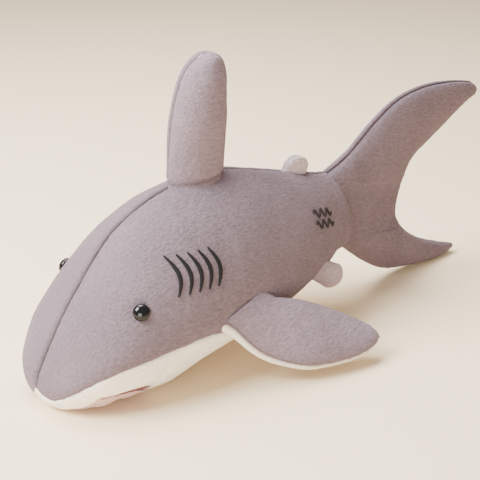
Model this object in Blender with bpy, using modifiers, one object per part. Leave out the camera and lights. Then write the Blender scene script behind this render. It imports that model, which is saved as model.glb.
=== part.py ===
"""Plush shark: sewn cloth panels over stuffing, with fins, tail and lower jaw that flex at their roots.

Metres. The nose points along -X, the tail along +X and the belly down.
The origin is on the floor, under the middle of the shark.
"""

import math

import bmesh
import bpy
import numpy as np
from mathutils import Matrix, Vector

# ---------------------------------------------------------------- driving dimensions
CLOTH = 0.0020  # plush cloth, backing and pile
FELT = 0.0010
SEAM_GAP = 0.0005  # between the cut edges of two panels
FILL_GAP = 0.0008  # between the cloth and the stuffing inside it
TAIL_FILL_GAP = 0.0030  # the same in the tail, whose facets turn more sharply

# The body at stations from the nose to the root of the tail.
# Each row is x, height of the back, height of the belly, half width, height of the widest point,
# and how far the side seam lies under that point, as a share of the way to the belly.
BODY = (
    (-0.3412, 0.0300, 0.0180, 0.010, 0.0235, 0.00),
    (-0.3365, 0.0425, 0.0085, 0.033, 0.0285, 0.00),
    (-0.3230, 0.0660, 0.0010, 0.056, 0.0400, 0.00),
    (-0.2950, 0.1100, 0.0000, 0.078, 0.0570, 0.00),
    (-0.2500, 0.1650, 0.0000, 0.090, 0.0680, 0.00),
    (-0.2150, 0.1890, 0.0000, 0.094, 0.0750, 0.00),
    (-0.1700, 0.2065, 0.0140, 0.095, 0.0800, 0.00),
    (-0.1050, 0.2145, 0.0270, 0.090, 0.0820, 0.25),
    (-0.0400, 0.2010, 0.0430, 0.078, 0.0860, 0.50),
    (0.0200, 0.1845, 0.0600, 0.060, 0.0920, 0.60),
    (0.0620, 0.1740, 0.0730, 0.040, 0.0980, 0.60),
)
STEPS_PER_STATION = 2
UPPER_STEPS = 7  # facets from the back to the side seam
LOWER_STEPS = 6  # facets from the side seam to the middle of the belly
CURVE_STEPS = 40
BACK_FULLNESS = 0.42  # how far the back stays level before it falls away, as a share of the half width
FLANK_FULLNESS = 0.52
BELLY_FULLNESS = 0.60
REST_FLAT = 0.36  # half width of the flattened belly, as a share of the body's

TAIL_HINGE_X = BODY[-1][0]
TAIL_END_ANGLES = range(12, 85, 12)  # degrees round the tail hinge that close the body
TAIL_SOCKET_GAP = 0.0010
TAIL_RIM_ANGLE = 65  # degrees round the hinge where the tail's cloth starts, which leaves it room to sway

# The lower jaw is a slice off the underside of the head.
JAW_HINGE_X = -0.2400
JAW_LENGTH = 0.0800
JAW_HALF_WIDTH = 0.1050
JAW_TOP = 0.0215
JAW_CLEARANCE = 0.0008
JAW_LEAN = 0.0032  # how much narrower the jaw is at its top, so that its front edge clears as it drops
MOUTH_ROOF = 0.0265
JAW_OUTLINE_STEPS = 15
JAW_REACH_DOWN = 0.03  # how far the blocks that cut the jaw go below the floor
TOOTH_PITCH = 0.0070
TOOTH_REACH = 0.0035  # how far the teeth stand out past the lips
TOOTH_VALLEY = 0.0005  # the same between two teeth
TOOTH_BAND = 0.0060  # width of the strip that is sewn in behind the lips
TEETH_COUNT = 7
TEETH_FRONT_X = -0.2950
TEETH_THICKNESS = 0.0008

EYE_X = -0.2535
EYE_Z = 0.1125
EYE_RADIUS = 0.0090
EYE_HEIGHT = 0.0070
SHANK_RADIUS = 0.0016
SHANK_LENGTH = 0.0085
SHANK_CLEARANCE = 0.0003
POCKET_MARGIN = 0.0010  # how far the hollow in the stuffing goes past the end of the shank
EYE_LIFT = 0.0006  # of the dome's rim off the cloth
WASHER_RADIUS = 0.0075
WASHER_THICKNESS = 0.0012

GILL_COUNT = 5
GILL_FIRST_X = -0.2130
GILL_PITCH = 0.0122
GILL_TOP_Z = 0.1590
GILL_LENGTH = 0.0385
GILL_BULGE = 0.0075
GILL_HALF_WIDTH = 0.0024
THREAD_HEIGHT = 0.0006  # half the height of an embroidered bar

WAVE_START_X = 0.0060
WAVE_LENGTH = 0.0360
WAVE_Z = (0.1480, 0.1360)
WAVE_HEIGHT = 0.0040
WAVE_HUMPS = 3
WAVE_DROP = 0.0080  # how far the lines fall towards the tail
WAVE_HALF_WIDTH = 0.0013

FIN_STEPS = 6  # facets along a fin's chord
ROOT_LEAST = 0.2  # how thick a fin's rounded root is where it ends, as a share
FIN_ROWS = (0.0, 0.03, 0.10, 0.24, 0.40, 0.57, 0.74, 0.88, 0.97, 1.0)  # sections, as shares of the span

# Each fin is the run of its leading edge and of its trailing edge, from root to tip, as x, y, z.
DORSAL_LEAD = (
    (-0.1630, 0.0, 0.2145),
    (-0.1600, 0.0, 0.2480),
    (-0.1555, 0.0, 0.2800),
    (-0.1475, 0.0, 0.3100),
    (-0.1340, 0.0, 0.3340),
    (-0.1120, 0.0, 0.3480),
)
DORSAL_TRAIL = (
    (-0.0920, 0.0, 0.2175),
    (-0.0900, 0.0, 0.2550),
    (-0.0890, 0.0, 0.3000),
    (-0.0890, 0.0, 0.3250),
    (-0.0940, 0.0, 0.3400),
    (-0.1030, 0.0, 0.3480),
)
SECOND_DORSAL_LEAD = (
    (0.0000, 0.0, 0.1930),
    (0.0050, 0.0, 0.1995),
    (0.0120, 0.0, 0.2035),
    (0.0200, 0.0, 0.2050),
)
SECOND_DORSAL_TRAIL = (
    (0.0400, 0.0, 0.1820),
    (0.0410, 0.0, 0.1895),
    (0.0370, 0.0, 0.1975),
    (0.0280, 0.0, 0.2040),
)
PECTORAL_LEAD = (
    (-0.1570, -0.0965, 0.0640),
    (-0.1280, -0.1180, 0.0330),
    (-0.0850, -0.1430, 0.0160),
    (-0.0350, -0.1560, 0.0130),
    (0.0010, -0.1580, 0.0160),
    (0.0190, -0.1540, 0.0210),
)
PECTORAL_TRAIL = (
    (-0.0860, -0.0905, 0.0860),
    (-0.0560, -0.1020, 0.0780),
    (-0.0260, -0.1120, 0.0620),
    (0.0020, -0.1270, 0.0450),
    (0.0180, -0.1400, 0.0330),
    (0.0225, -0.1490, 0.0260),
)
PELVIC_LEAD = (
    (-0.0010, -0.0600, 0.0670),
    (0.0120, -0.0680, 0.0570),
    (0.0250, -0.0710, 0.0560),
    (0.0340, -0.0710, 0.0600),
)
PELVIC_TRAIL = (
    (0.0310, -0.0590, 0.0850),
    (0.0390, -0.0620, 0.0815),
    (0.0420, -0.0650, 0.0740),
    (0.0400, -0.0690, 0.0660),
)
# The tail's outer edges as x, z, and the edge round its notch from the lower tip to the upper one.
TAIL_LOWER_EDGE = (
    (0.3175, 0.0090),
    (0.2980, 0.0010),
    (0.2640, 0.0000),
    (0.2145, 0.0050),
    (0.1750, 0.0130),
    (0.1400, 0.0330),
    (0.1080, 0.0580),
    (0.0800, 0.0780),
)
TAIL_UPPER_EDGE = (
    (0.0700, 0.1735),
    (0.1010, 0.1890),
    (0.1265, 0.2080),
    (0.1515, 0.2260),
    (0.1855, 0.2440),
    (0.2305, 0.2530),
    (0.2785, 0.2520),
    (0.3195, 0.2420),
    (0.3395, 0.2300),
)
TAIL_NOTCH = (
    (0.3185, 0.0120),
    (0.2930, 0.0220),
    (0.2505, 0.0390),
    (0.2190, 0.0590),
    (0.2020, 0.0800),
    (0.1995, 0.1000),
    (0.2090, 0.1320),
    (0.2230, 0.1590),
    (0.2580, 0.1790),
    (0.2950, 0.1990),
    (0.3225, 0.2170),
    (0.3415, 0.2280),
)
# Where each moving body turns. The left fins' points are mirrored for the right ones.
JAW_HINGE = (JAW_HINGE_X, 0.0, 0.0)
TAIL_HINGE = (TAIL_HINGE_X, 0.0, 0.1100)
DORSAL_HINGE = (-0.1275, 0.0, 0.2260)
SECOND_DORSAL_HINGE = (0.0200, 0.0, 0.1905)
PECTORAL_HINGE = (-0.1215, -0.0973, 0.0704)
PELVIC_HINGE = (0.0150, -0.0617, 0.0740)

# Half thickness at the root, depth of the rounded root, half thickness at mid span and at the tip.
DORSAL_PILLOW = (0.0220, 0.0100, 0.0290, 0.0120)
SECOND_DORSAL_PILLOW = (0.0070, 0.0040, 0.0090, 0.0060)
PECTORAL_PILLOW = (0.0070, 0.0060, 0.0150, 0.0080)
PELVIC_PILLOW = (0.0050, 0.0040, 0.0080, 0.0050)

TAIL_LOWER_ROWS = 8
TAIL_ROOT_ROWS = 6
TAIL_UPPER_ROWS = 9
TAIL_LOBE_HALF = 0.0160
TAIL_TIP_HALF = 0.0060

GREY = (0.30, 0.255, 0.265)
WHITE = (0.80, 0.74, 0.68)
PALE = (0.62, 0.57, 0.56)
FILL = (0.86, 0.86, 0.84)
RED = (0.42, 0.02, 0.03)
BLACK = (0.012, 0.011, 0.012)
THREAD = (0.09, 0.075, 0.085)


# ---------------------------------------------------------------- scene and materials
def clear_scene():
    for thing in list(bpy.data.objects):
        bpy.data.objects.remove(thing, do_unlink=True)


def new_collection(name):
    made = bpy.data.collections.new(name)
    bpy.context.scene.collection.children.link(made)
    return made


def material(name, colour, roughness):
    made = bpy.data.materials.new(name)
    made.use_nodes = True
    shader = made.node_tree.nodes["Principled BSDF"]
    shader.inputs["Base Color"].default_value = (*colour, 1.0)
    shader.inputs["Roughness"].default_value = roughness
    return made


def add_object(name, mesh, collection):
    made = bpy.data.objects.new(name, mesh)
    collection.objects.link(made)
    return made


FINISHES = {
    "plush_grey": (GREY, 0.95),
    "plush_white": (WHITE, 0.95),
    "plush_pale": (PALE, 0.95),
    "stuffing": (FILL, 1.0),
    "felt_red": (RED, 0.9),
    "felt_white": (WHITE, 0.9),
    "thread_dark": (THREAD, 0.6),
    "eye_plastic": (BLACK, 0.08),
    "washer_plastic": (FILL, 0.4),
}


def paint(target, finish):
    """Give an object a material of its own in one of the finishes."""
    colour, roughness = FINISHES[finish]
    target.data.materials.append(material(f"{target.name}_{finish}", colour, roughness))
    return target


# ---------------------------------------------------------------- curves and lofts
def spline(knots, steps):
    """Points on a smooth curve through the knots, with the same number of steps between each pair."""
    knots = np.array(knots, dtype=float)
    slopes = np.gradient(knots, axis=0)
    points = []
    for i in range(len(knots) - 1):
        for t in np.arange(steps) / steps:
            points.append(
                (2 * t**3 - 3 * t**2 + 1) * knots[i]
                + (t**3 - 2 * t**2 + t) * slopes[i]
                + (3 * t**2 - 2 * t**3) * knots[i + 1]
                + (t**3 - t**2) * slopes[i + 1]
            )
    points.append(knots[-1])
    return np.array(points)


def along(knots, shares):
    """Points at these shares of the length of a smooth curve through the knots."""
    fine = spline(knots, 12)
    lengths = np.concatenate([[0.0], np.cumsum(np.linalg.norm(np.diff(fine, axis=0), axis=1))])
    wanted = np.array(shares) * lengths[-1]
    return np.array([np.interp(wanted, lengths, fine[:, k]) for k in range(fine.shape[1])]).T


def bezier(a, b, c, d, steps):
    t = np.linspace(0.0, 1.0, steps + 1)[:, None]
    a, b, c, d = (np.array(p, dtype=float) for p in (a, b, c, d))
    return (1 - t) ** 3 * a + 3 * t * (1 - t) ** 2 * b + 3 * t**2 * (1 - t) * c + t**3 * d


def loft(name, rings, collection, folded=False):
    """A closed solid through rings of points, whose ends close between facing points.

    Point i of a ring faces point -1-i. In a folded ring, which starts on the mirror plane, it faces -i.
    """
    count = len(rings[0])
    bm = bmesh.new()
    grid = [[bm.verts.new(p) for p in ring] for ring in rings]
    for near, far in zip(grid, grid[1:]):
        for i in range(count):
            j = (i + 1) % count
            # The two halves of a ring face each other, so their diagonals are made to match.
            if i < count // 2:
                bm.faces.new((near[i], near[j], far[j]))
                bm.faces.new((near[i], far[j], far[i]))
            else:
                bm.faces.new((near[i], near[j], far[i]))
                bm.faces.new((near[j], far[j], far[i]))
    for ring in (grid[0], grid[-1]):
        if folded:
            middle = count // 2
            bm.faces.new((ring[0], ring[1], ring[-1]))
            for i in range(1, middle - 2):
                bm.faces.new((ring[i], ring[i + 1], ring[-i - 1], ring[-i]))
            bm.faces.new(ring[middle - 2 : middle + 3])
            continue
        for i in range(count // 2 - 1):
            bm.faces.new((ring[i], ring[i + 1], ring[-2 - i], ring[-1 - i]))
    bmesh.ops.recalc_face_normals(bm, faces=bm.faces)
    mesh = bpy.data.meshes.new(name)
    bm.to_mesh(mesh)
    bm.free()
    mesh.shade_smooth()
    return add_object(name, mesh, collection)


def cut(target, cutter, operation="DIFFERENCE", solver="EXACT"):
    modifier = target.modifiers.new(operation.title(), "BOOLEAN")
    modifier.operation = operation
    modifier.object = cutter
    modifier.solver = solver


def hide_cutter(cutter):
    cutter.display_type = "WIRE"
    cutter.hide_render = True
    return cutter


# ---------------------------------------------------------------- the body's form
STATIONS = spline(BODY, STEPS_PER_STATION)
STATIONS[:, (2, 5)] = np.maximum(STATIONS[:, (2, 5)], 0.0)


def spread(points, steps):
    """The same run with its points evenly spaced."""
    lengths = np.concatenate([[0.0], np.cumsum(np.linalg.norm(np.diff(points, axis=0), axis=1))])
    wanted = np.linspace(0.0, lengths[-1], steps + 1)
    return np.column_stack([np.interp(wanted, lengths, points[:, k]) for k in range(points.shape[1])])


def half_section(station, inset):
    """The right half of the body's outline at a station, from the back to the middle of the belly."""
    x, back, belly, width, widest, tuck = station
    narrow = min(inset, 0.45 * width)
    flat = min(inset, 0.45 * (back - belly) / 2)
    width = width - narrow
    back = back - flat
    belly = belly + flat
    rise = back - widest
    drop = widest - belly
    rest = REST_FLAT * width
    upper = bezier(
        (0.0, back),
        (BACK_FULLNESS * width, back),
        (width, widest + FLANK_FULLNESS * rise),
        (width, widest),
        CURVE_STEPS,
    )
    lower = bezier(
        (width, widest),
        (width, widest - BELLY_FULLNESS * drop),
        (rest + 0.6 * BELLY_FULLNESS * (width - rest), belly),
        (rest, belly),
        CURVE_STEPS,
    )
    seam = int(round(tuck * CURVE_STEPS))
    side = spread(np.vstack([upper, lower[1 : seam + 1]]), UPPER_STEPS)
    under = spread(np.vstack([lower[seam:], [[0.0, belly]]]), LOWER_STEPS)
    outline = np.vstack([side, under[1:]])
    return np.column_stack([np.full(len(outline), x), outline])


def nose_shift(index, inset):
    """How far back an inset surface starts at the nose, so that the cloth is as thick there too."""
    return inset * (1.0, 0.55, 0.2)[index] if index < 3 else 0.0


def body_halves(inset):
    """The right half outlines from the nose to the rounded end over the tail's hinge."""
    halves = []
    for index, station in enumerate(STATIONS):
        half = half_section(station, inset)
        half[:, 0] += nose_shift(index, inset)
        halves.append(half)
    last = halves[-1]
    for degrees in TAIL_END_ANGLES:
        angle = math.radians(degrees)
        turned = last.copy()
        turned[:, 0] = TAIL_HINGE_X + last[:, 1] * math.sin(angle)
        turned[:, 1] = last[:, 1] * math.cos(angle)
        halves.append(turned)
    return halves


def mirrored(points):
    return points * np.array([1.0, -1.0, 1.0])


def closed_ring(half):
    """A whole outline, right side first and then the left side from the belly up."""
    return np.vstack([half, mirrored(half[1:-1])[::-1]])


def body_solid(name, inset, collection, first=0):
    rings = [closed_ring(half) for half in body_halves(inset)]
    return loft(name, rings[first:], collection, folded=True)


def side_panel(name, side, collection):
    outer = body_halves(0.0)
    inner = body_halves(CLOTH)
    rings = []
    for a, b in zip(outer, inner):
        ring = np.vstack([a[: UPPER_STEPS + 1], b[: UPPER_STEPS + 1][::-1]])
        ring[:, 1] = np.maximum(ring[:, 1], SEAM_GAP / 2)
        seam_points = (UPPER_STEPS, UPPER_STEPS + 1)
        ring[seam_points, 2] += SEAM_GAP / 2
        ring[:, 1] *= side
        rings.append(ring)
    return loft(name, rings, collection)


def belly_panel(name, collection):
    rings = []
    for a, b in zip(body_halves(0.0), body_halves(CLOTH)):
        layers = []
        for half in (a, b):
            low = half[UPPER_STEPS:].copy()
            low[0, 2] -= SEAM_GAP / 2
            layers.append(np.vstack([low, mirrored(low[:-1])[::-1]]))
        rings.append(np.vstack([layers[0], layers[1][::-1]]))
    return loft(name, rings, collection)


def body_surface(x, z, side, proud=0.0):
    """The point of the upper side of the body at this x and height, and the outward direction there."""

    def width_at(px, pz):
        station = [np.interp(px, STATIONS[:, 0], STATIONS[:, k]) for k in range(6)]
        half = half_section(station, 0.0)[: UPPER_STEPS + 1]
        return np.interp(-pz, -half[:, 2], half[:, 1])

    step = 0.002
    slope_x = (width_at(x + step, z) - width_at(x - step, z)) / (2 * step)
    slope_z = (width_at(x, z + step) - width_at(x, z - step)) / (2 * step)
    normal = Vector((-slope_x, 1.0, -slope_z)).normalized()
    normal.y *= side
    point = Vector((x, side * width_at(x, z), z))
    return point + normal * proud, normal


# ---------------------------------------------------------------- the mouth
def jaw_outline(grow, z):
    """The jaw's outline from above at a height, larger than the jaw by grow on every side."""
    return [
        (
            JAW_HINGE_X + grow - (JAW_LENGTH + 2 * grow) * math.cos(t),
            (JAW_HALF_WIDTH + grow) * math.sin(t),
            z,
        )
        for t in np.linspace(-math.pi / 2, math.pi / 2, JAW_OUTLINE_STEPS + 1)
    ]


def jaw_block(name, grow, top, collection, lean=0.0):
    """A tall block with the jaw's outline, whose walls lean in above the floor if asked."""
    rings = [jaw_outline(grow, -JAW_REACH_DOWN), jaw_outline(grow, 0.0)]
    rings.append(jaw_outline(grow - lean * top / JAW_TOP, top))
    return hide_cutter(loft(name, rings, collection))


def lip_half_width(x, z):
    """Half the width of the head where a level cut leaves it."""
    station = [np.interp(x, STATIONS[:, 0], STATIONS[:, k]) for k in range(6)]
    low = half_section(station, 0.0)[UPPER_STEPS:]
    return np.interp(-z, -low[:, 2], low[:, 1])


def teeth(name, side, height, collection):
    """A flat strip of pointed felt teeth along one side of the mouth."""
    outline = []
    for i in range(2 * TEETH_COUNT + 1):
        x = TEETH_FRONT_X + i * TOOTH_PITCH / 2
        reach = TOOTH_REACH if i % 2 else TOOTH_VALLEY
        outline.append((x, lip_half_width(x, height) + reach))
    inner = [(x, lip_half_width(x, height) - TOOTH_BAND) for x, _ in outline]
    ring = outline + inner[::-1]
    rings = [[(x, side * y, z) for x, y in ring] for z in (height, height + TEETH_THICKNESS)]
    return loft(name, rings, collection)


def build_mouth(parts, cutters, belly, stuffing):
    gap = FILL_GAP / 2
    form = hide_cutter(body_solid("form_outer", 0.0, cutters))
    form_cloth = hide_cutter(body_solid("form_cloth", CLOTH, cutters))
    form_lining = hide_cutter(body_solid("form_lining", CLOTH + gap, cutters))

    room = jaw_block("jaw_room", 0.0, MOUTH_ROOF, cutters)
    cut(belly, room)
    behind_lining = jaw_block("jaw_room_behind_lining", FELT + gap, MOUTH_ROOF + FELT + gap, cutters)
    cut(stuffing, behind_lining)

    lining = jaw_block("mouth_lining", FELT, MOUTH_ROOF + FELT, parts)
    lining.display_type = "TEXTURED"
    lining.hide_render = False
    cut(lining, room)
    cut(lining, form_lining, "INTERSECT")

    bowl = jaw_block("jaw_panel", -JAW_CLEARANCE, JAW_TOP, parts, JAW_LEAN)
    bowl.display_type = "TEXTURED"
    bowl.hide_render = False
    cut(bowl, form, "INTERSECT")
    hollow = jaw_block("jaw_hollow", -JAW_CLEARANCE - CLOTH, JAW_TOP + 0.01, cutters, JAW_LEAN)
    cut(hollow, form_cloth, "INTERSECT")
    cut(bowl, hollow)

    pad = jaw_block("jaw_stuffing", -JAW_CLEARANCE - CLOTH - FILL_GAP, JAW_TOP - gap, parts, JAW_LEAN)
    pad.display_type = "TEXTURED"
    pad.hide_render = False
    form_fill = hide_cutter(body_solid("form_fill", CLOTH + FILL_GAP, cutters))
    cut(pad, form_fill, "INTERSECT")

    lid = jaw_block("jaw_lining", -JAW_CLEARANCE, JAW_TOP + gap + FELT, parts, JAW_LEAN)
    lid.display_type = "TEXTURED"
    lid.hide_render = False
    below = jaw_block("jaw_below_lining", 0.01, JAW_TOP + gap, cutters)
    cut(lid, below)
    cut(lid, form, "INTERSECT")

    upper_height = MOUTH_ROOF - gap / 2 - TEETH_THICKNESS
    lower_height = JAW_TOP + gap * 1.5 + FELT
    for side, word in ((-1, "left"), (1, "right")):
        paint(teeth(f"upper_teeth_{word}", side, upper_height, parts), "felt_white")
        paint(teeth(f"lower_teeth_{word}", side, lower_height, parts), "felt_white")
    paint(lining, "felt_red")
    paint(lid, "felt_red")
    paint(bowl, "plush_white")
    paint(pad, "stuffing")


# ---------------------------------------------------------------- eyes
def facing(point, normal):
    """A placement whose Z axis is the normal."""
    return Matrix.Translation(point) @ normal.to_track_quat("Z", "Y").to_matrix().to_4x4()


def turned(name, profile, collection, steps=20):
    """A solid of revolution about Z from (radius, height) points that run from top to bottom."""
    bm = bmesh.new()
    chain = [bm.verts.new((r, 0.0, z)) for r, z in profile]
    if profile[0] == profile[-1]:
        bm.verts.remove(chain.pop())
        chain.append(chain[0])
    for a, b in zip(chain, chain[1:]):
        bm.edges.new((a, b))
    mesh = bpy.data.meshes.new(name)
    bm.to_mesh(mesh)
    bm.free()
    made = add_object(name, mesh, collection)
    screw = made.modifiers.new("Turn", "SCREW")
    screw.axis = "Z"
    screw.steps = steps
    screw.render_steps = steps
    screw.use_merge_vertices = True
    screw.merge_threshold = 0.00001
    screw.use_smooth_shade = True
    return made


def build_eye(side, word, parts, cutters, panel, stuffing):
    point, normal = body_surface(EYE_X, EYE_Z, side)
    place = facing(point, normal)
    lift = EYE_LIFT
    dome = [
        (EYE_RADIUS * math.sin(t), lift + EYE_HEIGHT * (0.15 + 0.85 * math.cos(t)))
        for t in np.linspace(0.0, math.pi / 2, 7)
    ]
    dome[0] = (0.0, dome[0][1])
    shank = [
        (EYE_RADIUS * 0.96, lift),
        (SHANK_RADIUS, lift),
        (SHANK_RADIUS, -SHANK_LENGTH),
        (0.0, -SHANK_LENGTH),
    ]
    eye = turned(f"eye_{word}", dome + shank, parts)
    eye.matrix_world = place
    paint(eye, "eye_plastic")

    depth = CLOTH + FILL_GAP
    bore = SHANK_RADIUS + SHANK_CLEARANCE
    ring = [
        (bore, -depth),
        (WASHER_RADIUS, -depth),
        (WASHER_RADIUS, -depth - WASHER_THICKNESS),
        (bore, -depth - WASHER_THICKNESS),
        (bore, -depth),
    ]
    washer = turned(f"eye_washer_{word}", ring, parts)
    washer.matrix_world = place
    paint(washer, "washer_plastic")

    holes = (
        ("hole", panel, bore + SHANK_CLEARANCE, SHANK_LENGTH),
        ("pocket", stuffing, WASHER_RADIUS + SEAM_GAP, SHANK_LENGTH + POCKET_MARGIN),
    )
    for kind, target, radius, reach in holes:
        profile = [(0.0, SHANK_LENGTH), (radius, SHANK_LENGTH), (radius, -reach), (0.0, -reach)]
        cutter = hide_cutter(turned(f"eye_{kind}_{word}", profile, cutters))
        cutter.matrix_world = place
        cut(target, cutter)


# ---------------------------------------------------------------- embroidery
def stitched_bar(name, path, widths, side, collection):
    """A raised bar of satin stitch that follows (x, z) points on the side of the body."""
    lift = SEAM_GAP / 2 + THREAD_HEIGHT
    places = [body_surface(x, z, side, lift) for x, z in path]
    rings = []
    for i, (point, normal) in enumerate(places):
        before = places[max(i - 1, 0)][0]
        after = places[min(i + 1, len(places) - 1)][0]
        across = (after - before).cross(normal).normalized()
        ring = []
        for k in range(8):
            angle = (k + 0.5) * math.tau / 8
            ring.append(
                point
                + across * widths[i] * math.cos(angle)
                + normal * THREAD_HEIGHT * math.sin(angle)
            )
        rings.append(ring)
    return paint(loft(name, rings, collection), "thread_dark")


def build_embroidery(parts):
    steps = 8
    share = np.linspace(0.0, 1.0, steps + 1)
    taper = 0.25 + 0.75 * np.sin(np.pi * share) ** 0.7
    for side, word in ((-1, "left"), (1, "right")):
        for i in range(GILL_COUNT):
            top_x = GILL_FIRST_X + i * GILL_PITCH
            xs = top_x + GILL_BULGE * np.sin(np.pi * share)
            zs = GILL_TOP_Z - GILL_LENGTH * share
            path = list(zip(xs, zs))
            stitched_bar(f"gill_{word}_{i + 1}", path, GILL_HALF_WIDTH * taper, side, parts)
    share = np.linspace(0.0, 1.0, 6 * WAVE_HUMPS + 1)
    taper = 0.4 + 0.6 * np.sin(np.pi * share) ** 0.5
    for z, word in zip(WAVE_Z, ("upper", "lower")):
        xs = WAVE_START_X + WAVE_LENGTH * share
        zs = z + WAVE_HEIGHT * np.sin(math.tau * WAVE_HUMPS * share) - WAVE_DROP * share
        stitched_bar(f"tail_wave_{word}", list(zip(xs, zs)), WAVE_HALF_WIDTH * taper, -1, parts)


# ---------------------------------------------------------------- fins
def fin_row(lead, trail, normal, half, front_half, inset):
    """One side of a fin's section, from its leading edge to its trailing edge.

    front_half is the half thickness at the leading edge, which is more than nothing only where
    the section starts at a joint and not at a seam.
    """
    chord = trail - lead
    length = np.linalg.norm(chord)
    step = chord / length * min(inset, 0.35 * length)
    open_front = min(front_half / half, 1.0)
    start = lead + step * (1.0 - open_front)
    end = trail - step
    points = []
    for u in (1 - np.cos(np.linspace(0.0, math.pi, FIN_STEPS + 1))) / 2:
        pillow = math.sqrt(max(4 * u * (1 - u), 0.0))
        tongue = math.sqrt(max(1 - u**2, 0.0)) * (0.55 + 0.45 * math.exp(-5 * u))
        rise = half * ((1 - open_front) * pillow + open_front * tongue) - inset
        points.append(start + (end - start) * u + normal * max(rise, SEAM_GAP / 2))
    return np.array(points)


def sewn_fin(names, slots, rows, parts, fill_gap=FILL_GAP):
    """Two panels sewn edge to edge over stuffing. A row is lead, trail, normal, half, front_half."""
    rings = ([], [], [])
    deep = CLOTH + fill_gap
    for lead, trail, normal, half, front_half in rows:
        for k, outward in enumerate((normal, -normal)):
            outer = fin_row(lead, trail, outward, half, front_half, 0.0)
            inner = fin_row(lead, trail, outward, half, front_half, min(CLOTH, 0.6 * half))
            rings[k].append(np.vstack([outer, inner[::-1]]))
        if half > 1.8 * deep and np.linalg.norm(trail - lead) > 5 * deep:
            above = fin_row(lead, trail, normal, half, front_half, deep)
            below = fin_row(lead, trail, -normal, half, front_half, deep)
            rings[2].append(np.vstack([above, below[::-1]]))
    made = []
    for name, slot, sections in zip(names, slots, rings):
        made.append(paint(loft(name, sections, parts), slot))
    return made


def pillow_rows(lead, trail, pillow, side):
    """Sections of a fin whose root is rounded, so that it can turn beside the body."""
    root_half, root_depth, half, tip_half = pillow
    flip = np.array([1.0, -side, 1.0])
    leads = along(lead, FIN_ROWS) * flip
    trails = along(trail, FIN_ROWS) * flip
    spans = (leads + trails) / 2
    outwards = np.gradient(spans, axis=0)
    rows = []
    for i, share in enumerate(FIN_ROWS):
        normal = np.cross(trails[i] - leads[i], outwards[i])
        normal = normal / np.linalg.norm(normal) * side
        reach = min(np.linalg.norm(spans[i] - spans[0]) / root_depth, 1.0)
        rounding = max(math.sqrt(1 - (1 - reach) ** 2), ROOT_LEAST)
        thickness = np.interp(share, (0.0, 0.45, 0.75, 1.0), (root_half, half, 0.85 * half, tip_half))
        rows.append((leads[i], trails[i], normal, max(thickness * rounding, SEAM_GAP), 0.0))
    return rows


def build_fins(parts):
    sewn_fin(
        ("dorsal_panel_left", "dorsal_panel_right", "dorsal_stuffing"),
        ("plush_grey", "plush_grey", "stuffing"),
        pillow_rows(DORSAL_LEAD, DORSAL_TRAIL, DORSAL_PILLOW, -1),
        parts,
    )
    sewn_fin(
        ("second_dorsal_left", "second_dorsal_right", "second_dorsal_stuffing"),
        ("plush_pale", "plush_pale", "stuffing"),
        pillow_rows(SECOND_DORSAL_LEAD, SECOND_DORSAL_TRAIL, SECOND_DORSAL_PILLOW, -1),
        parts,
    )
    for side, word in ((-1, "left"), (1, "right")):
        sewn_fin(
            (f"pectoral_top_{word}", f"pectoral_bottom_{word}", f"pectoral_stuffing_{word}"),
            ("plush_grey", "plush_white", "stuffing"),
            pillow_rows(PECTORAL_LEAD, PECTORAL_TRAIL, PECTORAL_PILLOW, side),
            parts,
        )
        sewn_fin(
            (f"pelvic_top_{word}", f"pelvic_bottom_{word}", f"pelvic_stuffing_{word}"),
            ("plush_pale", "plush_white", "stuffing"),
            pillow_rows(PELVIC_LEAD, PELVIC_TRAIL, PELVIC_PILLOW, side),
            parts,
        )


def build_tail(parts, cutters):
    """A crescent from the lower tip to the upper one, whose middle rows start at the tail's hinge."""
    end = half_section(STATIONS[-1], 0.0)
    rim = math.radians(TAIL_RIM_ANGLE)

    def width_at(z):
        return np.interp(-z, -end[:, 2], end[:, 1])

    root_low = TAIL_LOWER_EDGE[-1][1]
    root_high = TAIL_UPPER_EDGE[0][1]
    heights = np.linspace(root_low, root_high, TAIL_ROOT_ROWS + 2)[1:-1]
    root = [(TAIL_HINGE_X + width_at(z) * math.cos(rim), z) for z in heights]
    low = along(TAIL_LOWER_EDGE, np.linspace(0.0, 1.0, TAIL_LOWER_ROWS))
    high = along(TAIL_UPPER_EDGE, np.linspace(0.0, 1.0, TAIL_UPPER_ROWS))
    leads = np.vstack([low, root, high])
    shares = np.linspace(0.0, 1.0, len(leads))
    even = (0.0, 0.34, 0.53, 1.0)
    matched = (
        0.0,
        (TAIL_LOWER_ROWS - 1) / (len(leads) - 1),
        (TAIL_LOWER_ROWS + TAIL_ROOT_ROWS) / (len(leads) - 1),
        1.0,
    )
    trails = along(TAIL_NOTCH, np.interp(shares, matched, even))
    rows = []
    for i, (lead, trail) in enumerate(zip(leads, trails)):
        from_tip = min(i, len(leads) - 1 - i) / (TAIL_LOWER_ROWS - 1)
        half = TAIL_TIP_HALF + (TAIL_LOBE_HALF - TAIL_TIP_HALF) * min(from_tip, 1.0) ** 0.6
        front = 0.0
        if TAIL_LOWER_ROWS - 1 <= i <= TAIL_LOWER_ROWS + TAIL_ROOT_ROWS:
            front = width_at(lead[1]) * math.sin(rim)
        rows.append(
            (
                np.array([lead[0], 0.0, lead[1]]),
                np.array([trail[0], 0.0, trail[1]]),
                np.array([0.0, -1.0, 0.0]),
                max(half, front),
                front,
            )
        )
    made = sewn_fin(
        ("tail_panel_left", "tail_panel_right", "tail_stuffing"),
        ("plush_grey", "plush_grey", "stuffing"),
        rows,
        parts,
        TAIL_FILL_GAP,
    )
    socket = hide_cutter(body_solid("tail_socket", -TAIL_SOCKET_GAP, cutters))
    *panels, filling = made
    for panel in panels:
        cut(panel, socket)
    cut(filling, socket, solver="MANIFOLD")


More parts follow.
